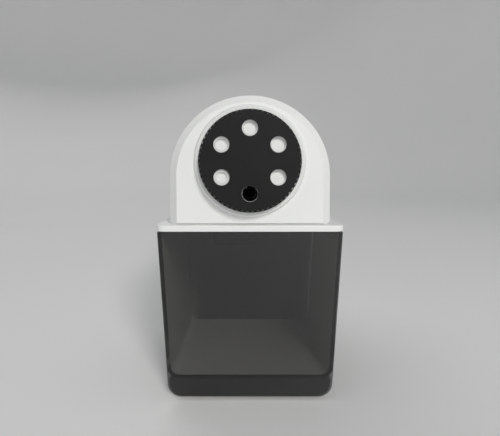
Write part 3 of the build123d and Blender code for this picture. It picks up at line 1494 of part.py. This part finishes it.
plunger_tip_y = bin_rear_y + plunger_tip
plunger_rear_y = bulkhead_rear_y + bay_panel_t + plunger_reach
with BuildPart() as interlock_plunger:
    with BuildSketch(facing_front(plunger_rear_y)):
        with Locations((plunger_x, plunger_z)):
            Circle(plunger_r)
    extrude(amount=plunger_rear_y - plunger_tip_y)
    fillet(interlock_plunger.faces().sort_by(Axis.Y)[0].edges(), radius=plunger_tip_r)
finish(interlock_plunger, "interlock_plunger")

interlock_y = bulkhead_rear_y + bay_panel_t
with BuildPart() as interlock_switch:
    with BuildSketch(facing_front(interlock_y + interlock_size[2])):
        with Locations((plunger_x, plunger_z)):
            RectangleRounded(interlock_size[0], interlock_size[1], switch_corner_r)
    extrude(amount=interlock_size[2])
    with BuildSketch(facing_front(plunger_rear_y + plunger_travel + 0.4)):
        with Locations((plunger_x, plunger_z)):
            Circle(plunger_r + running_gap)
    extrude(amount=plunger_rear_y - interlock_y + plunger_travel + 1, mode=Mode.SUBTRACT)
    with BuildSketch(facing_front(interlock_y + interlock_size[2] + tag_length)):
        with Locations((plunger_x, plunger_z)):
            with GridLocations(0, interlock_tag_pitch, 1, 3):
                Rectangle(*tag_size)
    extrude(amount=tag_length)
finish(interlock_switch, "interlock_switch")
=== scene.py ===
import json
import math

import bpy
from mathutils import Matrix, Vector

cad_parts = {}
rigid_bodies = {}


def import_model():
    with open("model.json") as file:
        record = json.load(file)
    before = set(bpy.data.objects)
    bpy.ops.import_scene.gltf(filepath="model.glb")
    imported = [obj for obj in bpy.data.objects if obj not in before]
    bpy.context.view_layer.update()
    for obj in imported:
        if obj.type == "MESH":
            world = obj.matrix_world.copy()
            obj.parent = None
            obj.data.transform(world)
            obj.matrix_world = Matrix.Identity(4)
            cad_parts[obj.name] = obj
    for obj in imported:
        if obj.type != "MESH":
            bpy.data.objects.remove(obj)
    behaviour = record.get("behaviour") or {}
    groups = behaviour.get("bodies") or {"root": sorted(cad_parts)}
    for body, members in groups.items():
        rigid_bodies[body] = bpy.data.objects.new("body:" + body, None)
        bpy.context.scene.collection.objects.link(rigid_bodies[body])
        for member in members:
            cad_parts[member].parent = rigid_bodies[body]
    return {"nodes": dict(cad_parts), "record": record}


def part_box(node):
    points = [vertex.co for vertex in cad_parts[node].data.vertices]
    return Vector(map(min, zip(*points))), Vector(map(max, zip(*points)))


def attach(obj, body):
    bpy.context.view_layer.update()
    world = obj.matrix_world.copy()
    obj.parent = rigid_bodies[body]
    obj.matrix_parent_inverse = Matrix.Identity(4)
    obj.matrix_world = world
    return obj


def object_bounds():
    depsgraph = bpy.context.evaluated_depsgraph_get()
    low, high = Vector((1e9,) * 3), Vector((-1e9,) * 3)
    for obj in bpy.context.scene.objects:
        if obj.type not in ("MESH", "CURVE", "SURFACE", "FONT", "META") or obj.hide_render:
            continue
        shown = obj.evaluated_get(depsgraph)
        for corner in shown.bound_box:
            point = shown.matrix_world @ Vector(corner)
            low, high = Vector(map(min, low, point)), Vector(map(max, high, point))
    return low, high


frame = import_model()
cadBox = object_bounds()
cad = frame["nodes"]
print("frame loaded:", len(cad), "pieces")

bpy.ops.object.select_all(action="DESELECT")


# close in front of the dial and just above the rim
cameraValues = {
    "ahead": 0.215,        # from the front of the dial to the lens
    "height": 0.128,       # of the lens above the desk
    "aimHeight": 0.102,    # height on the front that falls in the middle of the view
    "tilt": 3.0,           # degrees that the camera leans down
    "pictureWidth": 0.262,  # how much of the front fits across the view
    "filmWidth": 36.0,
}


def placeCamera(values):
    low, high = cadBox
    data = bpy.data.cameras.new("camera")
    camera = bpy.data.objects.new("camera", data)
    bpy.context.scene.collection.objects.link(camera)
    camera.location = ((low.x + high.x) / 2, low.y - values["ahead"], values["height"])
    camera.rotation_euler = (math.radians(90 - values["tilt"]), 0, 0)
    data.sensor_width = values["filmWidth"]
    data.lens = values["filmWidth"] * values["ahead"] / values["pictureWidth"]
    drop = math.atan((values["height"] - values["aimHeight"]) / values["ahead"])
    data.shift_y = -math.tan(drop - math.radians(values["tilt"])) * data.lens / data.sensor_width
    bpy.context.scene.camera = camera
    print("camera placed, shift", round(data.shift_y, 3))


placeCamera(cameraValues)


bpy.context.scene.view_settings.view_transform = "Standard"

studioValues = {
    "floorRadius": 1.5,
    "floorSides": 96,
    "wallSteps": 10,
    "wallHeight": 1.6,
    "wallTop": 1.6,        # plain stretch above the turn
    "floorColour": (0.85, 0.85, 0.84),
    "floorFleck": (0.82, 0.82, 0.815),
    "fleckScale": 3.0,
    "fleckDetail": 4.0,
    "floorRough": 0.55,
    "worldColour": (0.86, 0.93, 1.0),
    "worldStrength": 0.22,
}

lampValues = {
    "keyLamp": {"at": (0.56, -1.62, 1.12), "size": 0.4, "power": 20.0, "colour": (1.0, 0.985, 0.96)},
    "fillLamp": {"at": (-1.3, -0.9, 0.75), "size": 1.4, "power": 1.0, "colour": (0.95, 0.975, 1.0)},
    "backLamp": {"at": (-0.7, 1.35, 1.5), "size": 1.8, "power": 8.0, "colour": (1.0, 0.99, 0.98)},
}


def node(tree, kind, settings=None, inputs=None):
    made = tree.nodes.new(kind)
    for key, value in (settings or {}).items():
        setattr(made, key, value)
    for key, value in (inputs or {}).items():
        if isinstance(value, bpy.types.NodeSocket):
            tree.links.new(value, made.inputs[key])
        else:
            made.inputs[key].default_value = value
    return made


def newMaterial(name):
    material = bpy.data.materials.new(name)
    material.use_nodes = True
    tree = material.node_tree
    shader = tree.nodes["Principled BSDF"]
    place = node(tree, "ShaderNodeTexCoord").outputs["Object"]
    return material, tree, shader, place


def mixColours(tree, factor, first, second):
    mix = node(tree, "ShaderNodeMix", {"data_type": "RGBA"}, {0: factor})
    for index, colour in ((6, first), (7, second)):
        if isinstance(colour, bpy.types.NodeSocket):
            tree.links.new(colour, mix.inputs[index])
        else:
            mix.inputs[index].default_value = (*colour, 1)
    return mix.outputs[2]


def stretch(tree, value, low, high):
    return node(tree, "ShaderNodeMapRange", None,
                {"Value": value, "To Min": low, "To Max": high}).outputs[0]


def paintFloor(values):
    material, tree, shader, place = newMaterial("paleFloor")
    cloud = node(tree, "ShaderNodeTexNoise", None,
                 {"Vector": place, "Scale": values["fleckScale"], "Detail": values["fleckDetail"]})
    colour = mixColours(tree, cloud.outputs["Fac"], values["floorColour"], values["floorFleck"])
    tree.links.new(colour, shader.inputs["Base Color"])
    shader.inputs["Roughness"].default_value = values["floorRough"]
    return material


def layFloor(values):
    # a round floor that turns up into a wall all the way round
    bpy.ops.mesh.primitive_circle_add(
        vertices=values["floorSides"], radius=values["floorRadius"], fill_type="NGON")
    floor = bpy.context.object
    floor.name = "floor"
    bpy.ops.object.mode_set(mode="EDIT")
    bpy.ops.mesh.select_mode(type="EDGE")
    bpy.ops.mesh.select_all(action="SELECT")
    bpy.ops.mesh.region_to_loop()
    grown = values["floorRadius"]
    for step in range(values["wallSteps"]):
        turn = math.radians(90 * (step + 1) / values["wallSteps"])
        run = values["wallHeight"] / values["wallSteps"]
        bpy.ops.mesh.extrude_edges_move(
            TRANSFORM_OT_translate={"value": (0, 0, run * math.sin(turn))})
        wider = grown + run * math.cos(turn)
        bpy.ops.transform.resize(value=(wider / grown, wider / grown, 1), center_override=(0, 0, 0))
        grown = wider
    bpy.ops.mesh.extrude_edges_move(TRANSFORM_OT_translate={"value": (0, 0, values["wallTop"])})
    bpy.ops.object.mode_set(mode="OBJECT")
    bpy.ops.object.shade_smooth()
    floor.data.materials.append(paintFloor(values))
    floor.select_set(False)
    world = bpy.context.scene.world or bpy.data.worlds.new("studioAir")
    bpy.context.scene.world = world
    world.use_nodes = True
    sky = world.node_tree.nodes["Background"]
    sky.inputs[0].default_value = (*values["worldColour"], 1)
    sky.inputs[1].default_value = values["worldStrength"]


def hangLamps(lamps):
    middle = (cadBox[0] + cadBox[1]) / 2
    for name, values in lamps.items():
        data = bpy.data.lights.new(name, "AREA")
        data.size = values["size"]
        data.energy = values["power"]
        data.color = values["colour"]
        lamp = bpy.data.objects.new(name, data)
        bpy.context.scene.collection.objects.link(lamp)
        lamp.location = values["at"]
        lamp.rotation_euler = (middle - lamp.location).to_track_quat("-Z", "Y").to_euler()


layFloor(studioValues)
hangLamps(lampValues)
print("floor and lamps set")


def newGroup(name, inputs, outputs):
    tree = bpy.data.node_groups.new(name, "ShaderNodeTree")
    for label, kind in inputs:
        tree.interface.new_socket(name=label, in_out="INPUT", socket_type="NodeSocket" + kind)
    for label in outputs:
        tree.interface.new_socket(name=label, in_out="OUTPUT", socket_type="NodeSocketFloat")
    return tree, node(tree, "NodeGroupInput"), node(tree, "NodeGroupOutput")


def scaledBy(tree, value, factor):
    return node(tree, "ShaderNodeMath", {"operation": "MULTIPLY"}, {0: value, 1: factor}).outputs[0]


skinNoise = {
    "fineDetail": 3.0,
    "fineRough": 0.6,
    "slowDetail": 2.0,
    "cloudDetail": 4.0,
    "cloudShare": 7.0,     # how much finer the cloudy gloss is than the flow
    "cloudBend": 0.6,
    "spread": (-0.3, 1.3),  # pulls the noise's narrow middle out to the full range
}


def makeMouldedSkin(values):
    # fine spark-eroded grain, the slow change of tone along the flow of the melt, and cloudy gloss
    tree, entry, leave = newGroup(
        "mouldedSkin",
        [("Vector", "Vector"), ("Grain", "Float"), ("Flow", "Float")],
        ["Height", "Tone", "Gloss"])
    place, grain, flow = (entry.outputs[label] for label in ("Vector", "Grain", "Flow"))
    fine = node(tree, "ShaderNodeTexNoise", None,
                {"Vector": place, "Scale": grain,
                 "Detail": values["fineDetail"], "Roughness": values["fineRough"]})
    slow = node(tree, "ShaderNodeTexNoise", None,
                {"Vector": place, "Scale": flow, "Detail": values["slowDetail"]})
    cloud = node(tree, "ShaderNodeTexNoise", None,
                 {"Vector": place, "Scale": scaledBy(tree, flow, values["cloudShare"]),
                  "Detail": values["cloudDetail"], "Distortion": values["cloudBend"]})
    tree.links.new(fine.outputs["Fac"], leave.inputs["Height"])
    tree.links.new(stretch(tree, slow.outputs["Fac"], *values["spread"]), leave.inputs["Tone"])
    tree.links.new(stretch(tree, cloud.outputs["Fac"], *values["spread"]), leave.inputs["Gloss"])
    return tree


dustValues = {
    "facingFrom": 0.35,    # how far up a face has to look before dust stays on it
    "speckScale": 900.0,
    "speckDetail": 5.0,
    "speckRough": 0.7,
    "speckFrom": 0.48,
    "speckTo": 0.72,
    "patchScale": 45.0,
    "patchDetail": 3.0,
}


def makeSettledDust(values):
    # a thin film of graphite and wood dust on what faces up
    tree, entry, leave = newGroup(
        "settledDust",
        [("Vector", "Vector"), ("Normal", "Vector"), ("Amount", "Float")],
        ["Mask"])
    upward = node(tree, "ShaderNodeSeparateXYZ", None, {0: entry.outputs["Normal"]}).outputs["Z"]
    facing = node(tree, "ShaderNodeMapRange", None,
                  {"Value": upward, "From Min": values["facingFrom"], "From Max": 1.0})
    speck = node(tree, "ShaderNodeTexNoise", None,
                 {"Vector": entry.outputs["Vector"], "Scale": values["speckScale"],
                  "Detail": values["speckDetail"], "Roughness": values["speckRough"]})
    patch = node(tree, "ShaderNodeTexNoise", None,
                 {"Vector": entry.outputs["Vector"], "Scale": values["patchScale"],
                  "Detail": values["patchDetail"]})
    specks = node(tree, "ShaderNodeMapRange", None,
                  {"Value": speck.outputs["Fac"],
                   "From Min": values["speckFrom"], "From Max": values["speckTo"]})
    spread = scaledBy(tree, specks.outputs[0], patch.outputs["Fac"])
    shown = scaledBy(tree, spread, facing.outputs[0])
    tree.links.new(scaledBy(tree, shown, entry.outputs["Amount"]), leave.inputs["Mask"])
    return tree


rubValues = {
    "samples": 4,
    "turnFrom": 0.97,      # how far the rounded normal leans off before the edge counts as rubbed
    "turnTo": 0.72,
    "patchScale": 350.0,
    "patchDetail": 4.0,
    "patchFrom": 0.38,
    "patchTo": 0.62,
}


def makeRubbedEdge(values):
    # how near a sharp edge a point is, broken up as handling wears it
    tree, entry, leave = newGroup(
        "rubbedEdge",
        [("Vector", "Vector"), ("Width", "Float"), ("Amount", "Float")],
        ["Mask"])
    rounded = node(tree, "ShaderNodeBevel", {"samples": values["samples"]},
                   {"Radius": entry.outputs["Width"]})
    plain = node(tree, "ShaderNodeNewGeometry").outputs["Normal"]
    dot = node(tree, "ShaderNodeVectorMath", {"operation": "DOT_PRODUCT"},
               {0: rounded.outputs[0], 1: plain})
    away = node(tree, "ShaderNodeMapRange", None,
                {"Value": dot.outputs["Value"],
                 "From Min": values["turnFrom"], "From Max": values["turnTo"]})
    broken = node(tree, "ShaderNodeTexNoise", None,
                  {"Vector": entry.outputs["Vector"], "Scale": values["patchScale"],
                   "Detail": values["patchDetail"]})
    patchy = node(tree, "ShaderNodeMapRange", None,
                  {"Value": broken.outputs["Fac"],
                   "From Min": values["patchFrom"], "From Max": values["patchTo"]})
    worn = scaledBy(tree, away.outputs[0], patchy.outputs[0])
    tree.links.new(scaledBy(tree, worn, entry.outputs["Amount"]), leave.inputs["Mask"])
    return tree


markValues = {
    "detail": 4.0,
    "spread": (-0.4, 1.4),  # pulls the lines' noise out to the full range
}


def makeToolMarks(values):
    # fine lines left by turning, grinding or rolling; Stretch holds how often they come along X, Y and Z
    tree, entry, leave = newGroup(
        "toolMarks",
        [("Vector", "Vector"), ("Stretch", "Vector")],
        ["Height", "Tone"])
    drawn = node(tree, "ShaderNodeVectorMath", {"operation": "MULTIPLY"},
                 {0: entry.outputs["Vector"], 1: entry.outputs["Stretch"]})
    lines = node(tree, "ShaderNodeTexNoise", None,
                 {"Vector": drawn.outputs[0], "Scale": 1.0, "Detail": values["detail"]})
    tree.links.new(lines.outputs["Fac"], leave.inputs["Height"])
    tree.links.new(stretch(tree, lines.outputs["Fac"], *values["spread"]), leave.inputs["Tone"])
    return tree


effects = {
    "mouldedSkin": makeMouldedSkin(skinNoise),
    "settledDust": makeSettledDust(dustValues),
    "rubbedEdge": makeRubbedEdge(rubValues),
    "toolMarks": makeToolMarks(markValues),
}


def useEffect(tree, name, inputs):
    return node(tree, "ShaderNodeGroup", {"node_tree": effects[name]}, inputs)


def addDust(tree, place, colour, values):
    if "dust" not in values:
        return colour
    facing = node(tree, "ShaderNodeTexCoord").outputs["Normal"]
    dust = useEffect(tree, "settledDust", {"Vector": place, "Normal": facing, "Amount": values["dust"]})
    return mixColours(tree, dust.outputs["Mask"], colour, values["dustColour"])


def wearEdges(tree, place, colour, values):
    if "edge" not in values:
        return colour
    worn = useEffect(tree, "rubbedEdge",
                     {"Vector": place, "Width": values["edgeWidth"], "Amount": values["edgeAmount"]})
    return mixColours(tree, worn.outputs["Mask"], colour, values["edge"])


def raiseSurface(tree, shader, height, depth, strength):
    bump = node(tree, "ShaderNodeBump", None, {"Height": height, "Distance": depth, "Strength": strength})
    tree.links.new(bump.outputs[0], shader.inputs["Normal"])


plasticBasics = {
    "ior": 1.5,
    "specular": 0.5,
    "glowReach": (0.0016, 0.0014, 0.0012),  # how far red, green and blue light wander in
}


def mouldPlastic(name, values):
    values = {**plasticBasics, **values}
    material, tree, shader, place = newMaterial(name)
    skin = useEffect(tree, "mouldedSkin",
                     {"Vector": place, "Grain": values["grain"], "Flow": values["flow"]})
    colour = mixColours(tree, skin.outputs["Tone"], values["colour"], values["shade"])
    colour = wearEdges(tree, place, colour, values)
    colour = addDust(tree, place, colour, values)
    tree.links.new(colour, shader.inputs["Base Color"])
    rough = stretch(tree, skin.outputs["Gloss"], *values["rough"])
    tree.links.new(rough, shader.inputs["Roughness"])
    raiseSurface(tree, shader, skin.outputs["Height"], values["depth"], values["bump"])
    shader.inputs["IOR"].default_value = values["ior"]
    shader.inputs["Specular IOR Level"].default_value = values["specular"]
    if "glow" in values:    # light that wanders a little way into the plastic
        shader.inputs["Subsurface Weight"].default_value = values["glow"]
        shader.inputs["Subsurface Radius"].default_value = values["glowReach"]
        shader.inputs["Subsurface Scale"].default_value = 1.0
    return material


metalBasics = {
    "grain": 3000.0,
    "flow": 60.0,
    "cast": False,         # cast and sintered metal is grainy instead of lined
}


def finishMetal(name, values):
    values = {**metalBasics, **values}
    material, tree, shader, place = newMaterial(name)
    marks = useEffect(tree, "toolMarks", {"Vector": place, "Stretch": values["stretch"]})
    skin = useEffect(tree, "mouldedSkin",
                     {"Vector": place, "Grain": values["grain"], "Flow": values["flow"]})
    colour = mixColours(tree, marks.outputs["Tone"], values["colour"], values["shade"])
    if "stain" in values:
        stained = scaledBy(tree, skin.outputs["Tone"], values["stainAmount"])
        colour = mixColours(tree, stained, colour, values["stain"])
    colour = wearEdges(tree, place, colour, values)
    tree.links.new(colour, shader.inputs["Base Color"])
    shader.inputs["Metallic"].default_value = 1.0
    tree.links.new(stretch(tree, skin.outputs["Gloss"], *values["rough"]), shader.inputs["Roughness"])
    relief = skin if values["cast"] else marks
    raiseSurface(tree, shader, relief.outputs["Height"], values["depth"], values["bump"])
    return material


def tintSmoke(name, values):
    # clear smoked polystyrene; lamps shine through it, so what it holds is lit
    material, tree, shader, place = newMaterial(name)
    skin = useEffect(tree, "mouldedSkin",
                     {"Vector": place, "Grain": values["grain"], "Flow": values["flow"]})
    colour = mixColours(tree, skin.outputs["Tone"], values["colour"], values["shade"])
    tree.links.new(colour, shader.inputs["Base Color"])
    shader.inputs["Transmission Weight"].default_value = values["clear"]
    shader.inputs["Specular IOR Level"].default_value = values["specular"]
    shader.inputs["IOR"].default_value = values["ior"]
    tree.links.new(stretch(tree, skin.outputs["Gloss"], *values["rough"]), shader.inputs["Roughness"])
    through = node(tree, "ShaderNodeBsdfTransparent", None, {"Color": (*values["lampTint"], 1)})
    path = node(tree, "ShaderNodeLightPath")
    blend = node(tree, "ShaderNodeMixShader", None,
                 {0: path.outputs["Is Shadow Ray"], 1: shader.outputs[0], 2: through.outputs[0]})
    tree.links.new(blend.outputs[0], tree.nodes["Material Output"].inputs["Surface"])
    return material


whiteDust = {"dust": 0.25, "dustColour": (0.5, 0.48, 0.45)}
blackDust = {"dust": 0.5, "dustColour": (0.2, 0.19, 0.18)}

plasticValues = {
    "white_shell": {"colour": (0.86, 0.87, 0.86), "shade": (0.835, 0.845, 0.835), "rough": (0.34, 0.44),
                    "grain": 1500.0, "flow": 16.0, "depth": 0.00006, "bump": 0.35, "glow": 0.06,
                    **whiteDust},
    "white_inner": {"colour": (0.78, 0.79, 0.78), "shade": (0.75, 0.76, 0.75), "rough": (0.3, 0.42),
                    "grain": 2400.0, "flow": 22.0, "depth": 0.00003, "bump": 0.3},
    "dial_black": {"colour": (0.010, 0.010, 0.0105), "shade": (0.013, 0.013, 0.0135),
                   "rough": (0.36, 0.48), "specular": 0.2,
                   "grain": 2600.0, "flow": 40.0, "depth": 0.00005, "bump": 0.4,
                   "edge": (0.05, 0.05, 0.052), "edgeWidth": 0.0003, "edgeAmount": 0.6, **blackDust},
    "black_plastic": {"colour": (0.011, 0.011, 0.0115), "shade": (0.015, 0.015, 0.0155),
                      "rough": (0.6, 0.75), "specular": 0.15,
                      "grain": 1700.0, "flow": 25.0, "depth": 0.00003, "bump": 0.25,
                      "edge": (0.05, 0.05, 0.05), "edgeWidth": 0.0004, "edgeAmount": 0.5},
    "foot_rubber": {"colour": (0.022, 0.022, 0.023), "shade": (0.035, 0.034, 0.033), "rough": (0.75, 0.9),
                    "grain": 1300.0, "flow": 120.0, "depth": 0.0001, "bump": 0.6, **blackDust},
    "gland_rubber": {"colour": (0.02, 0.02, 0.021), "shade": (0.03, 0.03, 0.03), "rough": (0.6, 0.75),
                     "grain": 1900.0, "flow": 150.0, "depth": 0.00008, "bump": 0.5},
    "gear_nylon": {"colour": (0.70, 0.67, 0.58), "shade": (0.66, 0.62, 0.52), "rough": (0.35, 0.5),
                   "grain": 1500.0, "flow": 60.0, "depth": 0.00004, "bump": 0.3, "glow": 0.25},
    "ferrite": {"colour": (0.045, 0.045, 0.05), "shade": (0.07, 0.07, 0.075), "rough": (0.55, 0.75),
                "grain": 2600.0, "flow": 90.0, "depth": 0.00012, "bump": 0.7},
    "fan_plastic": {"colour": (0.03, 0.03, 0.031), "shade": (0.042, 0.042, 0.043), "rough": (0.4, 0.55),
                    "grain": 1800.0, "flow": 60.0, "depth": 0.00005, "bump": 0.4},
    "capacitor_sleeve": {"colour": (0.03, 0.035, 0.07), "shade": (0.04, 0.045, 0.09), "rough": (0.2, 0.3),
                         "grain": 900.0, "flow": 80.0, "depth": 0.00003, "bump": 0.3},
    "black_epoxy": {"colour": (0.018, 0.018, 0.018), "shade": (0.03, 0.03, 0.03), "rough": (0.5, 0.7),
                    "grain": 3200.0, "flow": 200.0, "depth": 0.00005, "bump": 0.5},
    "switch_body": {"colour": (0.05, 0.05, 0.055), "shade": (0.065, 0.065, 0.07), "rough": (0.35, 0.5),
                    "grain": 2200.0, "flow": 150.0, "depth": 0.00004, "bump": 0.4},
    "plunger_red": {"colour": (0.42, 0.025, 0.02), "shade": (0.36, 0.02, 0.018), "rough": (0.2, 0.3),
                    "grain": 1600.0, "flow": 120.0, "depth": 0.00003, "bump": 0.3, "glow": 0.1},
    "board_green": {"colour": (0.02, 0.13, 0.06), "shade": (0.03, 0.17, 0.08), "rough": (0.25, 0.4),
                    "grain": 1200.0, "flow": 260.0, "depth": 0.00004, "bump": 0.4},
}

metalValues = {
    "zinc_steel": {"colour": (0.62, 0.63, 0.66), "shade": (0.52, 0.53, 0.55), "rough": (0.28, 0.42),
                   "stretch": (900.0, 900.0, 900.0), "depth": 0.00003, "bump": 0.35,
                   "stain": (0.55, 0.5, 0.36), "stainAmount": 0.25},
    "black_steel": {"colour": (0.035, 0.035, 0.037), "shade": (0.055, 0.054, 0.052),
                    "rough": (0.32, 0.48), "stretch": (1400.0, 1400.0, 1400.0),
                    "depth": 0.00003, "bump": 0.35,
                    "edge": (0.35, 0.34, 0.33), "edgeWidth": 0.0002, "edgeAmount": 0.8},
    "bright_steel": {"colour": (0.66, 0.67, 0.68), "shade": (0.54, 0.55, 0.56), "rough": (0.16, 0.28),
                     "stretch": (60.0, 5200.0, 60.0), "depth": 0.00002, "bump": 0.3},
    "cutter_steel": {"colour": (0.42, 0.42, 0.44), "shade": (0.28, 0.28, 0.29), "rough": (0.22, 0.36),
                     "stretch": (2600.0, 160.0, 2600.0), "depth": 0.00004, "bump": 0.4,
                     "stain": (0.12, 0.11, 0.10), "stainAmount": 0.35,
                     "edge": (0.75, 0.75, 0.76), "edgeWidth": 0.0002, "edgeAmount": 0.7},
    "cast_carrier": {"colour": (0.56, 0.57, 0.58), "shade": (0.46, 0.47, 0.48), "rough": (0.42, 0.58),
                     "stretch": (300.0, 300.0, 300.0), "grain": 1400.0, "cast": True,
                     "depth": 0.00012, "bump": 0.6, "stain": (0.2, 0.2, 0.2), "stainAmount": 0.25},
    "bush_bronze": {"colour": (0.58, 0.36, 0.15), "shade": (0.44, 0.26, 0.1), "rough": (0.35, 0.5),
                    "stretch": (80.0, 3600.0, 80.0), "grain": 3200.0, "cast": True,
                    "depth": 0.00006, "bump": 0.6},
    "motor_can": {"colour": (0.5, 0.51, 0.53), "shade": (0.4, 0.41, 0.42), "rough": (0.24, 0.36),
                  "stretch": (700.0, 120.0, 700.0), "depth": 0.00003, "bump": 0.3,
                  "stain": (0.3, 0.3, 0.3), "stainAmount": 0.2},
    "rotor_iron": {"colour": (0.3, 0.3, 0.31), "shade": (0.12, 0.12, 0.125), "rough": (0.35, 0.5),
                   "stretch": (10.0, 2000.0, 10.0), "depth": 0.00008, "bump": 0.7},
    "copper_parts": {"colour": (0.72, 0.34, 0.16), "shade": (0.5, 0.2, 0.08), "rough": (0.25, 0.42),
                     "stretch": (1800.0, 1800.0, 200.0), "depth": 0.00005, "bump": 0.5},
}

smokeValues = {
    "colour": (0.25, 0.25, 0.247), "shade": (0.235, 0.235, 0.232), "lampTint": (0.8, 0.8, 0.795),
    "clear": 0.97, "specular": 0.18, "ior": 1.49, "rough": (0.0, 0.02), "grain": 700.0, "flow": 18.0,
}

finishes = {}
for slot, values in plasticValues.items():
    finishes[slot] = mouldPlastic(slot + "_finish", values)
for slot, values in metalValues.items():
    finishes[slot] = finishMetal(slot + "_finish", values)
finishes["smoke_plastic"] = tintSmoke("smoke_plastic_finish", smokeValues)

for piece in cad.values():
    for place in piece.material_slots:
        place.material = finishes[place.material.name.split(".")[0]]
print("finishes on", len(cad), "pieces")


# new pieces, modelled over the frame
mounts = {mount["name"]: mount for mount in frame["record"]["mounts"]}


def pickFaces(piece, test):
    # selects in edit mode the faces whose middle and normal pass the test
    bpy.ops.object.mode_set(mode="OBJECT")
    for vertex in piece.data.vertices:
        vertex.select = False
    for edge in piece.data.edges:
        edge.select = False
    for face in piece.data.polygons:
        face.select = test(face.center, face.normal)
    bpy.ops.object.mode_set(mode="EDIT")
    bpy.ops.mesh.select_mode(type="FACE")


underFaces = -1.0          # a wall grows from the faces to the side they look away from
overFaces = 1.0


def thicken(piece, wall, side):
    modifier = piece.modifiers.new("wall", "SOLIDIFY")
    modifier.thickness = wall
    modifier.offset = side
    bpy.ops.object.modifier_apply(modifier=modifier.name)


smoothAngle = 30.0         # degrees; sharper edges stay sharp


def settlePiece(piece, name, finish, body):
    bpy.ops.object.mode_set(mode="OBJECT")
    bpy.ops.object.transform_apply(location=True, rotation=True, scale=True)
    bpy.ops.object.shade_smooth_by_angle(angle=math.radians(smoothAngle))
    piece.name = name
    piece.data.materials.clear()
    piece.data.materials.append(finish)
    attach(piece, body)
    piece.select_set(False)


# sizes of the thin sleeve whose black finish is painted shade inside the pencil hole
shadeLinerValues = {
    "sides": 48,
    "outerR": 0.00455,
    "wall": 0.00015,
    "front": 0.0031,       # from the front of the dial to the sleeve
    "length": 0.016,
    "rings": 7,
    "narrowing": 0.97,     # of the rear end
    "endFacing": 0.9,      # faces that look this far along the way are its ends
}


def lineWayWithPaintedShade(values):
    # thin dark sleeve that leads the pencil from the dial to the lever; its black is painted shade that
    # darkens the deep pencil hole
    spot = Vector(mounts["pencil_hole"]["pos_m"])
    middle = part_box("size_dial")[0].y + values["front"] + values["length"] / 2
    bpy.ops.object.select_all(action="DESELECT")
    bpy.ops.mesh.primitive_cylinder_add(
        vertices=values["sides"], radius=values["outerR"], depth=values["length"], end_fill_type="NGON",
        location=(spot.x, middle, spot.z), rotation=(math.radians(90), 0, 0))
    sleeve = bpy.context.object
    bpy.ops.object.transform_apply(location=True, rotation=True, scale=True)
    pickFaces(sleeve, lambda centre, normal: normal.y > values["endFacing"])
    bpy.ops.transform.resize(value=(values["narrowing"], 1, values["narrowing"]), center_override=spot)
    pickFaces(sleeve, lambda centre, normal: abs(normal.y) > values["endFacing"])
    bpy.ops.mesh.delete(type="FACE")
    rings = values["rings"]
    for cut in range(1, rings):
        bpy.ops.mesh.select_all(action="SELECT")
        along = middle + values["length"] * (cut / rings - 0.5)
        bpy.ops.mesh.bisect(plane_co=(spot.x, along, spot.z), plane_no=(0, 1, 0))
    bpy.ops.object.mode_set(mode="OBJECT")
    thicken(sleeve, values["wall"], underFaces)
    # black finish on the sleeve: painted shade deep in the pencil hole
    settlePiece(sleeve, "pencilWayShadeLiner", finishes["black_plastic"], "body")


skinValues = {
    "gap": 0.00004,        # off the drawer's inner faces
    "wall": 0.00015,
    "weld": 0.00001,
    "colour": (0.50, 0.50, 0.49),
    "shade": (0.44, 0.44, 0.43),
    "alpha": 0.75,
    "grain": 2200.0,
    "flow": 30.0,
    "rough": (0.6, 0.8),
    "depth": 0.00003,
    "bump": 0.3,
    "steep": 0.7,          # faces that look this far forwards or backwards stay polished
}


def copyNode(name):
    # a free copy of one of the frame's pieces, left selected
    bpy.ops.object.select_all(action="DESELECT")
    cad[name].select_set(True)
    bpy.context.view_layer.objects.active = cad[name]
    bpy.ops.object.duplicate()
    copy = bpy.context.object
    bpy.ops.object.parent_clear(type="CLEAR_KEEP_TRANSFORM")
    for key in [key for key in copy.keys() if key.startswith("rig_")]:
        del copy[key]
    return copy


def frostFinish(values):
    material, tree, shader, place = newMaterial("drawerInnerSkin_finish")
    skin = useEffect(tree, "mouldedSkin",
                     {"Vector": place, "Grain": values["grain"], "Flow": values["flow"]})
    tree.links.new(mixColours(tree, skin.outputs["Tone"], values["colour"], values["shade"]),
                   shader.inputs["Base Color"])
    tree.links.new(stretch(tree, skin.outputs["Gloss"], *values["rough"]), shader.inputs["Roughness"])
    shader.inputs["Alpha"].default_value = values["alpha"]
    raiseSurface(tree, shader, skin.outputs["Height"], values["depth"], values["bump"])
    return material


def frostDrawer(values):
    # the drawer's floor and side walls are matt inside, and its front and back are polished
    low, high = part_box("shavings_bin")
    middle = (low + high) / 2
    skin = copyNode("shavings_bin")
    bpy.ops.object.mode_set(mode="EDIT")
    bpy.ops.mesh.select_all(action="SELECT")
    bpy.ops.mesh.remove_doubles(threshold=values["weld"])
    pickFaces(skin, lambda centre, normal:
              (middle - centre).dot(normal) <= 0 or abs(normal.y) > values["steep"])
    bpy.ops.mesh.delete(type="FACE")
    bpy.ops.mesh.select_all(action="SELECT")
    bpy.ops.transform.shrink_fatten(value=values["gap"])
    bpy.ops.object.mode_set(mode="OBJECT")
    thicken(skin, values["wall"], overFaces)
    settlePiece(skin, "drawerInnerSkin", frostFinish(values), "bin")


lineWayWithPaintedShade(shadeLinerValues)
frostDrawer(skinValues)
print("new pieces made")
